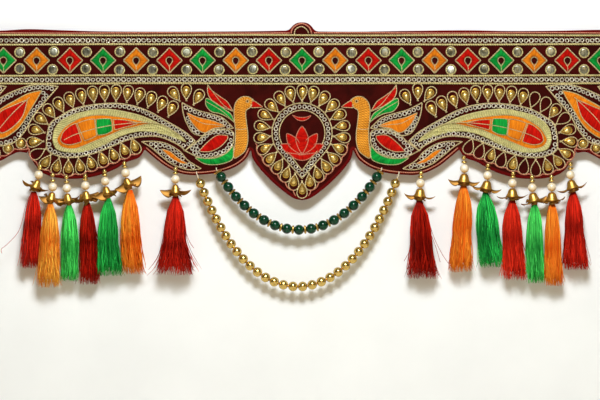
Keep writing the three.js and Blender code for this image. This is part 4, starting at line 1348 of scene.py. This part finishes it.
# Birds
for outer, hole in ((UPPER_WING, UPPER_LEAF), (LOWER_WING, LOWER_LEAF), (TAIL_LEAF, TAIL_SLIVER)):
    outline_cord(outer, 0.6)
    ring_field(outer, hole, first=2.7, step=4.2, pitch=4.6, clear=1.6)
PLUMAGE = ((UPPER_LEAF, "orange", 1.3), (LOWER_LEAF, "red", 1.3), (TAIL_SLIVER, "orange", 1.1),
           (BELLY, "green", 1.2), (RED_CREST, "red", 1.2), (GREEN_CREST, "green", 1.2),
           (NECK, "neck", 1.5), (BEAK, "red", 1.1))
for sides, key, height in PLUMAGE:
    floss(sides, key, height, steps=14 if sides is BEAK else 36, slope=0.5 if sides is NECK else 0.55)
for sides, *_ in PLUMAGE:
    outline_cord(sides, 0.42, lift=0.6)
for flip in (1, -1):
    for vein in BIRD_VEINS:
        lay("zari", smooth(vein) * [flip, 1], 0.36, 1.5, sides=5)
    lay("zari", circle(flip * EYE_X, EYE_Z, 1.5, 14), 0.38, 1.6, closed=True, sides=5)
    work["stitch"].append(copies(ball(0.85, 8, 3), [[flip * EYE_X, face(EYE_X, EYE_Z) - 1.9, EYE_Z]]))

# Leaves towards the ends
for k in range(LEAVES_PER_SIDE):
    outer, orange, red = ([np.array(side) + [k * LEAF_PITCH, 0] for side in sides]
                          for sides in (LEAF_OUTER, LEAF_ORANGE, LEAF_RED))
    outline_cord(outer, 0.72)
    ring_field(outer, orange, first=2.9)
    floss(orange, "orange")
    floss(red, "red", 1.1, 1.0)
    outline_cord(orange, 0.5, "strip", 0.6)
    outline_cord(red, 0.42, lift=1.6)
    for line in both(smooth(np.array(LEAF_VEIN) + [k * LEAF_PITCH, 0])):
        lay("zari", line, 0.42, 2.2, sides=5)


# The lotus in the heart: petals round a low cup, and a bud over them

def lotus_petal(angle, length, width, root=(0.0, -123.0)):
    """A pointed petal from the root: each side bows out by half the width a little past half way."""
    c, s = math.cos(angle), math.sin(angle)
    right = np.array([[0, 0], [0.36, 0.3], [0.5, 0.58], [0.26, 0.86], [0, 1]]) * [width, length]
    return [(right * [flip, 1]) @ np.array([[c, s], [-s, c]]) + root for flip in (1, -1)]


# Two-sided shapes: the height and base of the floss, its steps, and the cord's radius and lift
LOTUS = [
    *((lotus_petal(*petal), 1.0, 0.1 + 0.12 * i, 24, 0.5, 0.7 + 0.12 * i)
      for i, petal in enumerate(LOTUS_PETALS)),
    (LOTUS_CUP, 1.1, 0.5, 24, 0.5, 1.0),
    (LOTUS_BUD, 0.9, 0.1, 20, 0.45, 0.5),
]
for sides, height, base, steps, r, lift in LOTUS:
    work["red"].append(pad(sides, height, base, steps))
    lay("edge", outline_of(sides), r, lift, closed=True)


# The edge cord that follows the stones, and the tab

def scalloped(line, stones, swell, side=1):
    """A line pushed to one side by EDGE_OUT, and more by swell times the rounded cosine that peaks
    at each stone."""
    bulge = np.abs(np.cos(math.pi * np.linspace(0, stones, len(line)))) ** 0.7
    return line + side * left_normals(line) * (EDGE_OUT + swell * bulge)[:, None]


heart_run = resample(stone_line, count=HEART["count"] * STONE_STEPS, closed=True)
heart_half = resample(heart_run[: int(HEART_CORD_STONES * STONE_STEPS)], count=8 * STONE_STEPS)
heart_cord = scalloped(heart_half * [np.sign(heart_half[20, 0]), 1], HEART_CORD_STONES, 2.2, -1)
below_paisley = resample(paisley_line, count=(PAISLEY_STONE_COUNT - 1) * STONE_STEPS + 1)
below_paisley = below_paisley[FIRST_BELOW_PAISLEY * STONE_STEPS :]
x = np.linspace(FIRST_ROUND_X - 7, END_CORD_X - 4, 290)
last = FIRST_ROUND_X + (ROUNDS_PER_SIDE - 0.5) * ROUND_PITCH
bulge = np.abs(np.cos(math.pi * (x - FIRST_ROUND_X) / ROUND_PITCH)) ** 0.6
bulge = np.where(x < last, bulge, 0.5 * np.clip((x - last) / 5, 0, 1))
line = np.column_stack([x, round_line_z(x) - 3.6 - 2.6 * bulge])
corner = smooth([line[-1], line[-1] + [3.0, 1.2], line[-1] + [4.0, 4.6]])[1:]
upright = np.linspace(corner[-1], [END_CORD_X, -1.4], 40)[1:]
bird = smooth(BIRD_EDGE)
right_cords = (
    heart_cord[heart_cord[:, 1] < -111],
    scalloped(below_paisley, len(below_paisley) / STONE_STEPS, 2.3),
    np.vstack([line, corner, upright]),
    bird + left_normals(bird) * 2.4,
)
for flip in (1, -1):
    for line in right_cords:
        lay("edge", line * [flip, 1], EDGE_R, EDGE_LIFT)
x = np.arange(-HALF_WIDTH + 3, HALF_WIDTH - 3, 2.0)
for part in (x[x < -10.5], x[x > 10.5]):
    lay("edge", np.column_stack([part, -0.9 + 0.2 * np.sin(part / 31)]), 0.66, EDGE_LIFT)
lay("edge", smooth([[-11.1, -1.4], [-8.6, 4.8], [-0.3, 8.6], [7, 4.8], [9.8, -1.6]]), 0.66, EDGE_LIFT)
lay("zari", smooth([[-7.9, -2.5], [-6.3, 3.0], [-0.3, 5.6], [4.7, 2.5], [6.6, -1.2]]), 0.6, EDGE_LIFT)

# Running stitches on the back, close to the edges: each rises from the cloth by half a cosine
hem = np.vstack([top_line - [0, HEM_TOP], (edge_line + [0, HEM_LOW])[::-1]])
hem = resample(hem, step=BACK_PITCH, closed=True)
hem = hem[np.abs(hem[:, 0]) < HALF_WIDTH - 4]
along = left_normals(hem, closed=True)[:, ::-1] * [1, -1]
share = np.linspace(-0.5, 0.5, 4)
x, z = np.moveaxis(hem[:, None] + along[:, None] * (share[:, None] * BACK_STITCH)[None], -1, 0)
paths = np.stack([x, lean(x, z) + 0.35 * np.cos(math.pi * share) - 0.1, z], -1)
work["cotton"].append(tubes(paths, 0.3, 4))

for key, (name, finish) in EMBROIDERY.items():
    shape = join(work[key])
    # Far in from the outline, the bird eyes take the field colour, without the margin's painted light
    extra = {"rim": np.full(len(shape[0]), 20.0)} if key == "stitch" else None
    add_piece(name, shape, finish, "velvet", attributes=extra)

flat_area = sum(abs(np.trapz(line[:, 1], line[:, 0])) for line in (edge_line, top_line))


# Bead strings, caps and tassels

GLASS_SPACER = [[0, -1.3], [1.8, -1.2], [3.1, 0], [1.8, 1.2], [0, 1.3]]
BELL = [[0, -4], [2.7, -4], [2.9, -2], [4.2, -1.4], [6.2, -0.6], [6.5, 0.0], [5.7, 1.2], [4.9, 2.8],
        [4.5, 4.4], [4.1, 5.8], [3.3, 7.2], [2.0, 8.1], [0, 8.5]]


def bead_string(tassel):
    """The thread, the small bead with a faceted spacer, and the pearl of one string."""
    y = middle_y("beads_" + tassel.name)
    top = np.array([tassel.root_x, y, tassel.root_z])
    pearl_at = np.array([tassel.pearl_x, y, tassel.pearl_z])
    way = pearl_at - top
    spacer_at = top + way * (1 - (PEARL_R + SPACER_GAP) / np.linalg.norm(way))
    path = np.array([top + [0, 0, 2.4], top, pearl_at, pearl_at - [0, 0, PEARL_R]])
    seeds = join([copies(ball(SEED_R, 12, 7), [top]), copies(turned(GLASS_SPACER, 10), [spacer_at])])
    pearls = copies(ball(PEARL_R * 0.94, 20, 11, 0.3), [pearl_at])
    return strand(resample(path, count=10), THREAD_R, 6), seeds, pearls


def petal_shape(turn, reach, width, root, lift, roll):
    """A stamped petal that points outwards at turn: its half width grows from a stalk and falls to
    a point, its height dips and rises again with the way out, and its two edges droop by the
    square of the way across. roll leans it about its own length."""
    u = np.linspace(0, 1, 10)[:, None]
    w = np.concatenate([np.linspace(-1, 1, 9), [0.6, -0.6]])
    half = width / 2 * np.minimum(1, 0.7 + u) * (1 - u**2.2) ** 0.8
    out = root + (reach - root) * u + 0 * w
    across = half * w
    up = 0.6 - 5.5 * u + (5.5 + lift) * u**2 - 0.32 * half * w**2 + roll * across
    up = up + np.where(np.arange(11) < 9, PETAL_HALF, -PETAL_HALF)
    x = out * math.cos(turn) - across * math.sin(turn)
    y = CAP_SQUASH * (out * math.sin(turn) + across * math.cos(turn))
    rings = np.stack([x, y, up], -1)[None]
    v = np.concatenate([np.linspace(0, 1, 9), [1.1, 1.2]])
    return sweep(rings[:, :-1], u[None, :-1, 0] * reach * UV_MM, v, *tube_ends(rings))


def petal_cap(tassel):
    """The bell like a bead on a skirt, four long petals and four small curled ones under them. The
    whole flower nods a little to the front, and is tilted about the bell's top. Gives the shape and
    the painted shade of each point: the bell below the petals and the petals themselves. The left
    caps have narrower bells and broader, steeper petals."""
    left = tassel.name.startswith("left")
    petals = []
    for k in range(4):
        angle = math.radians(tassel.turn) + k * math.pi / 2
        lift, wide = random.uniform(0.4, 2.4), random.uniform(10.0, 12.6) + 1.6 * left
        roll = random.choice([-1, 1]) * random.uniform(*((0.4, 0.7) if left else (0.1, 0.35)))
        reach = tassel.reach * random.uniform(0.98, 1.04)
        petals.append(petal_shape(angle, reach, wide, 4.6 - 1.6 * left, lift, roll))
        low = petal_shape(angle + math.pi / 4, 8.4, 5.4, 2.6, -1.5, roll)
        petals.append((low[0] - [0, 0, 1.2], *low[1:]))
    flower, *rest = join(petals)
    flower = flower @ turns_about(0, NOD)[0].T
    flower[:, 2] += 1.3 * left
    bell = turned(BELL, 20)
    bell[0][:, :2] *= 1 - 0.2 * left
    # Painted shade: brown on the bell's foot under the petals, and on the petals
    worn = np.concatenate([np.where(bell[0][:, 2] < 0.4, 0.7, 0.0), np.full(len(flower), 0.8)])
    points, *rest = join([bell, (flower, *rest)])
    points = (points - [0, 0, CAP_DOME]) @ turns_about(1, math.radians(tassel.tilt))[0]
    y = middle_y("beads_" + tassel.name)
    return (points + [tassel.pearl_x, y, tassel.pearl_z - PEARL_R - CAP_GAP], *rest), worn


def tassel_shape(tassel):
    """Strands that spread from the head: each follows the tassel's swelling profile at its own
    share of the radius, with a slow and a quick sine outwards, one sideways, and its own length.
    The ends fray, and a few strands fly away. A dark core, painted shade, fills the inside. Gives the
    shape and the tone of each point: a chance share of the silk's own tone, locks from two sines
    round the tassel darkened as painted shade, a few strands set bright as painted highlights, and
    brighter and darker bands down it, painted highlight and painted shade, darkest under the cap."""
    y0 = middle_y("beads_" + tassel.name)
    top_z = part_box("tassel_" + tassel.name)[1][2] / MM + HEAD_HIDDEN
    top_x = tassel.pearl_x - (CAP_DOME + CAP_FOOT - HEAD_HIDDEN) * math.sin(math.radians(tassel.tilt))
    length, swing = top_z - tassel.end_z, tassel.end_x - top_x
    t = np.linspace(0, 1, TASSEL_ROWS)
    knots = [0, 0.03, 0.09, 0.2, 0.4, 0.6, 0.85, 1.0]
    m, lo = tassel.middle / 2, tassel.lower / 2
    profile = np.interp(t, knots, [2.2, 3.2, 4.4, 0.7 * m + 0.6, 0.96 * m, m, (m + 2 * lo) / 3, lo])
    a = random.uniform(0, TURN, STRANDS)
    share = np.sqrt(random.uniform(0.45, 1.0, STRANDS))
    share[: STRANDS // 5] *= 0.6
    reach = random.uniform(0.9, 1.02, STRANDS)
    wild = 0.8 if tassel.name in LOOSE else 0.9
    stray = (random.uniform(0, 1, STRANDS) > wild) * random.uniform(0.15, 0.75, STRANDS)
    bend = random.normal(0, 0.8, (STRANDS, 2))
    phase = random.uniform(0, TURN, (3, STRANDS))[:, :, None]
    tt = t[None] * reach[:, None]
    wave = np.sin(phase[0] + 5 * tt) * 1.2 * tt + np.sin(phase[1] + 17 * tt) * 0.5 * tt
    shared = 1.3 * np.sin(phase[2, :1] + 3.2 * tt) * tt
    deep = profile[None] * share[:, None] + wave
    wide = deep + profile[None] * share[:, None] * stray[:, None] * tt**4
    sideways = random.normal(0, 0.22, (STRANDS, 1)) * tt + 0.16 * np.sin(phase[2] + 11 * tt) * tt
    turned_by = a[:, None] + sideways
    x = top_x + swing * tt**1.5 + wide * np.cos(turned_by) + bend[:, :1] * tt**2 + shared
    y = y0 + 0.72 * deep * np.sin(turned_by) + bend[:, 1:] * tt**2 * 0.4
    thick = STRAND_R * np.interp(t, [0, 0.1, 0.85, 1], [0.8, 1.0, 0.9, 0.4])
    paths = np.stack([x, y, top_z - length * tt], -1)
    shape = tubes(paths, thick[None] * random.uniform(0.6, 1.25, (STRANDS, 1)), 3)
    # Painted shade: locks from two sines round the tassel are darker; a few strands are set bright as
    # painted highlights
    painted_lock_shade = 0.5 + 0.5 * np.sin(3 * a + phase[2, 0]) * np.sin(5 * a + phase[1, 0])
    tones = 0.55 * painted_lock_shade**1.5 + 0.6 * random.uniform(0, 1, STRANDS) ** 2
    tones[random.uniform(0, 1, STRANDS) > 0.88] = 1.45
    # Painted highlight and painted shade down the tassel: dark under the cap, a bright band high up, a
    # darker band lower down, brighter again at the end
    painted_shade_band = 0.56 + 0.1 * math.sin(phase[1, 0, 0])
    painted_light = np.interp(t, [0, 0.05, 0.14, painted_shade_band - 0.22, painted_shade_band, painted_shade_band + 0.2, 1],
                    [0.1, 0.4, 1.5, 1.4, 0.25, 0.95, 1.15])
    # The core is a dark filler: painted shade inside the tassel
    core_t = t[:-1]
    core_r = np.interp(core_t, knots, [2.0, 2.8, 3.8, 0.5 * m + 0.6, 0.74 * m, 0.74 * m, 0.7 * m,
                                       0.4 * lo])
    core = np.column_stack([top_x + swing * core_t**1.5, np.full(TASSEL_ROWS - 1, y0),
                            top_z - length * core_t * 0.97])
    body = tubes(core[None], core_r, 12, flat=0.72)
    hairs = [strand(np.insert(smooth(line), 1, y0 - HAIR_FRONT, axis=1), HAIR_R, 4)
             for line in LOOSE.get(tassel.name, ())]
    # Tones: chance tone and painted shade of the locks, times the painted bands; the core's 0.1 is painted
    # shade
    tone = np.concatenate([
        np.repeat(tones, TASSEL_ROWS * 3) * np.tile(np.repeat(painted_light, 3), STRANDS), tones, tones,
        np.full(len(body[0]), 0.1), np.full(sum(len(hair[0]) for hair in hairs), 0.5)])
    return join([shape, body, *hairs]), tone


for tassel in TASSELS:
    name = tassel.name
    threads, seeds, pearls = bead_string(tassel)
    # How far down each point of the pearl lies, which the pearl paints with the cap's reflection and shade
    low = {"low": np.clip((tassel.pearl_z - pearls[0][:, 2]) / PEARL_R, 0, 1)}
    add_piece("pearl_" + name, pearls, PEARL, "pearls", ("beads_" + name,), low)
    add_piece("seed_beads_" + name, seeds, GOLD_BEAD, "gold_beads")
    add_piece("drop_thread_" + name, threads, COTTON, "pearls")
    cap, worn = petal_cap(tassel)
    add_piece("petal_cap_" + name, cap, CAP_GOLD, "caps", ("cap_" + name,), {"worn": worn})
    shape, tone = tassel_shape(tassel)
    slot, finish = SILKS[tassel.silk]
    add_piece("silk_" + name, shape, finish, slot, ("tassel_" + name,), {"tone": tone})


# The stage, in metres: a pale floor, a pale backdrop close behind, and soft studio light

WALL_Y, FLOOR_Z, SIDE, TOP, NEAR, FAR = 0.0095, -0.43, 2.2, 1.2, -3.0, 2.0


def stage_plane(name, corners, material):
    """A flat quad of the stage."""
    mesh = bpy.data.meshes.new(name)
    mesh.from_pydata(corners, [], [(0, 1, 2, 3)])
    mesh.materials.append(material)
    link(name, mesh)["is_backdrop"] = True


stage_plane("backdrop", [(-SIDE, WALL_Y, FLOOR_Z), (SIDE, WALL_Y, FLOOR_Z), (SIDE, WALL_Y, TOP),
                         (-SIDE, WALL_Y, TOP)], plaster("wall plaster", (241, 243, 245), (236, 238, 240)))
stage_plane("floor", [(-SIDE, NEAR, FLOOR_Z), (SIDE, NEAR, FLOOR_Z), (SIDE, FAR, FLOOR_Z),
                      (-SIDE, FAR, FLOOR_Z)], plaster("floor plaster", (212, 203, 184), (203, 194, 175)))


def area_light(name, place, aim, width, height, power, colour=(1, 1, 1)):
    """A soft box that faces its aim."""
    data = bpy.data.lights.new(name, "AREA")
    data.shape, data.size, data.size_y = "RECTANGLE", width, height
    data.energy, data.color = power, colour
    away = np.array(place) - np.array(aim)
    lamp = link(name, data)
    lamp.location = place
    tip, spin = math.atan2(math.hypot(away[0], away[1]), away[2]), math.atan2(away[0], -away[1])
    lamp.rotation_euler = (tip, 0, spin)


area_light("key", (0.05, -1.2, 0.74), (0, 0, -0.14), 0.42, 0.3, 25.5, (0.95, 0.99, 1.0))
area_light("fill", (0.3, -2.2, 0.1), (0, 0, -0.18), 0.6, 0.5, 2.8, (1.0, 0.72, 0.34))
area_light("back fill", (0.3, 2.0, 0.8), (0, 0, -0.1), 1.4, 1.0, 12)

world = bpy.data.worlds.new("studio")
world.use_nodes = True
background = world.node_tree.nodes["Background"].inputs
background["Color"].default_value = (1.0, 0.75, 0.38, 1)
background["Strength"].default_value = 0.08
bpy.context.scene.world = world
bpy.context.scene.view_settings.view_transform = "Standard"

low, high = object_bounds()
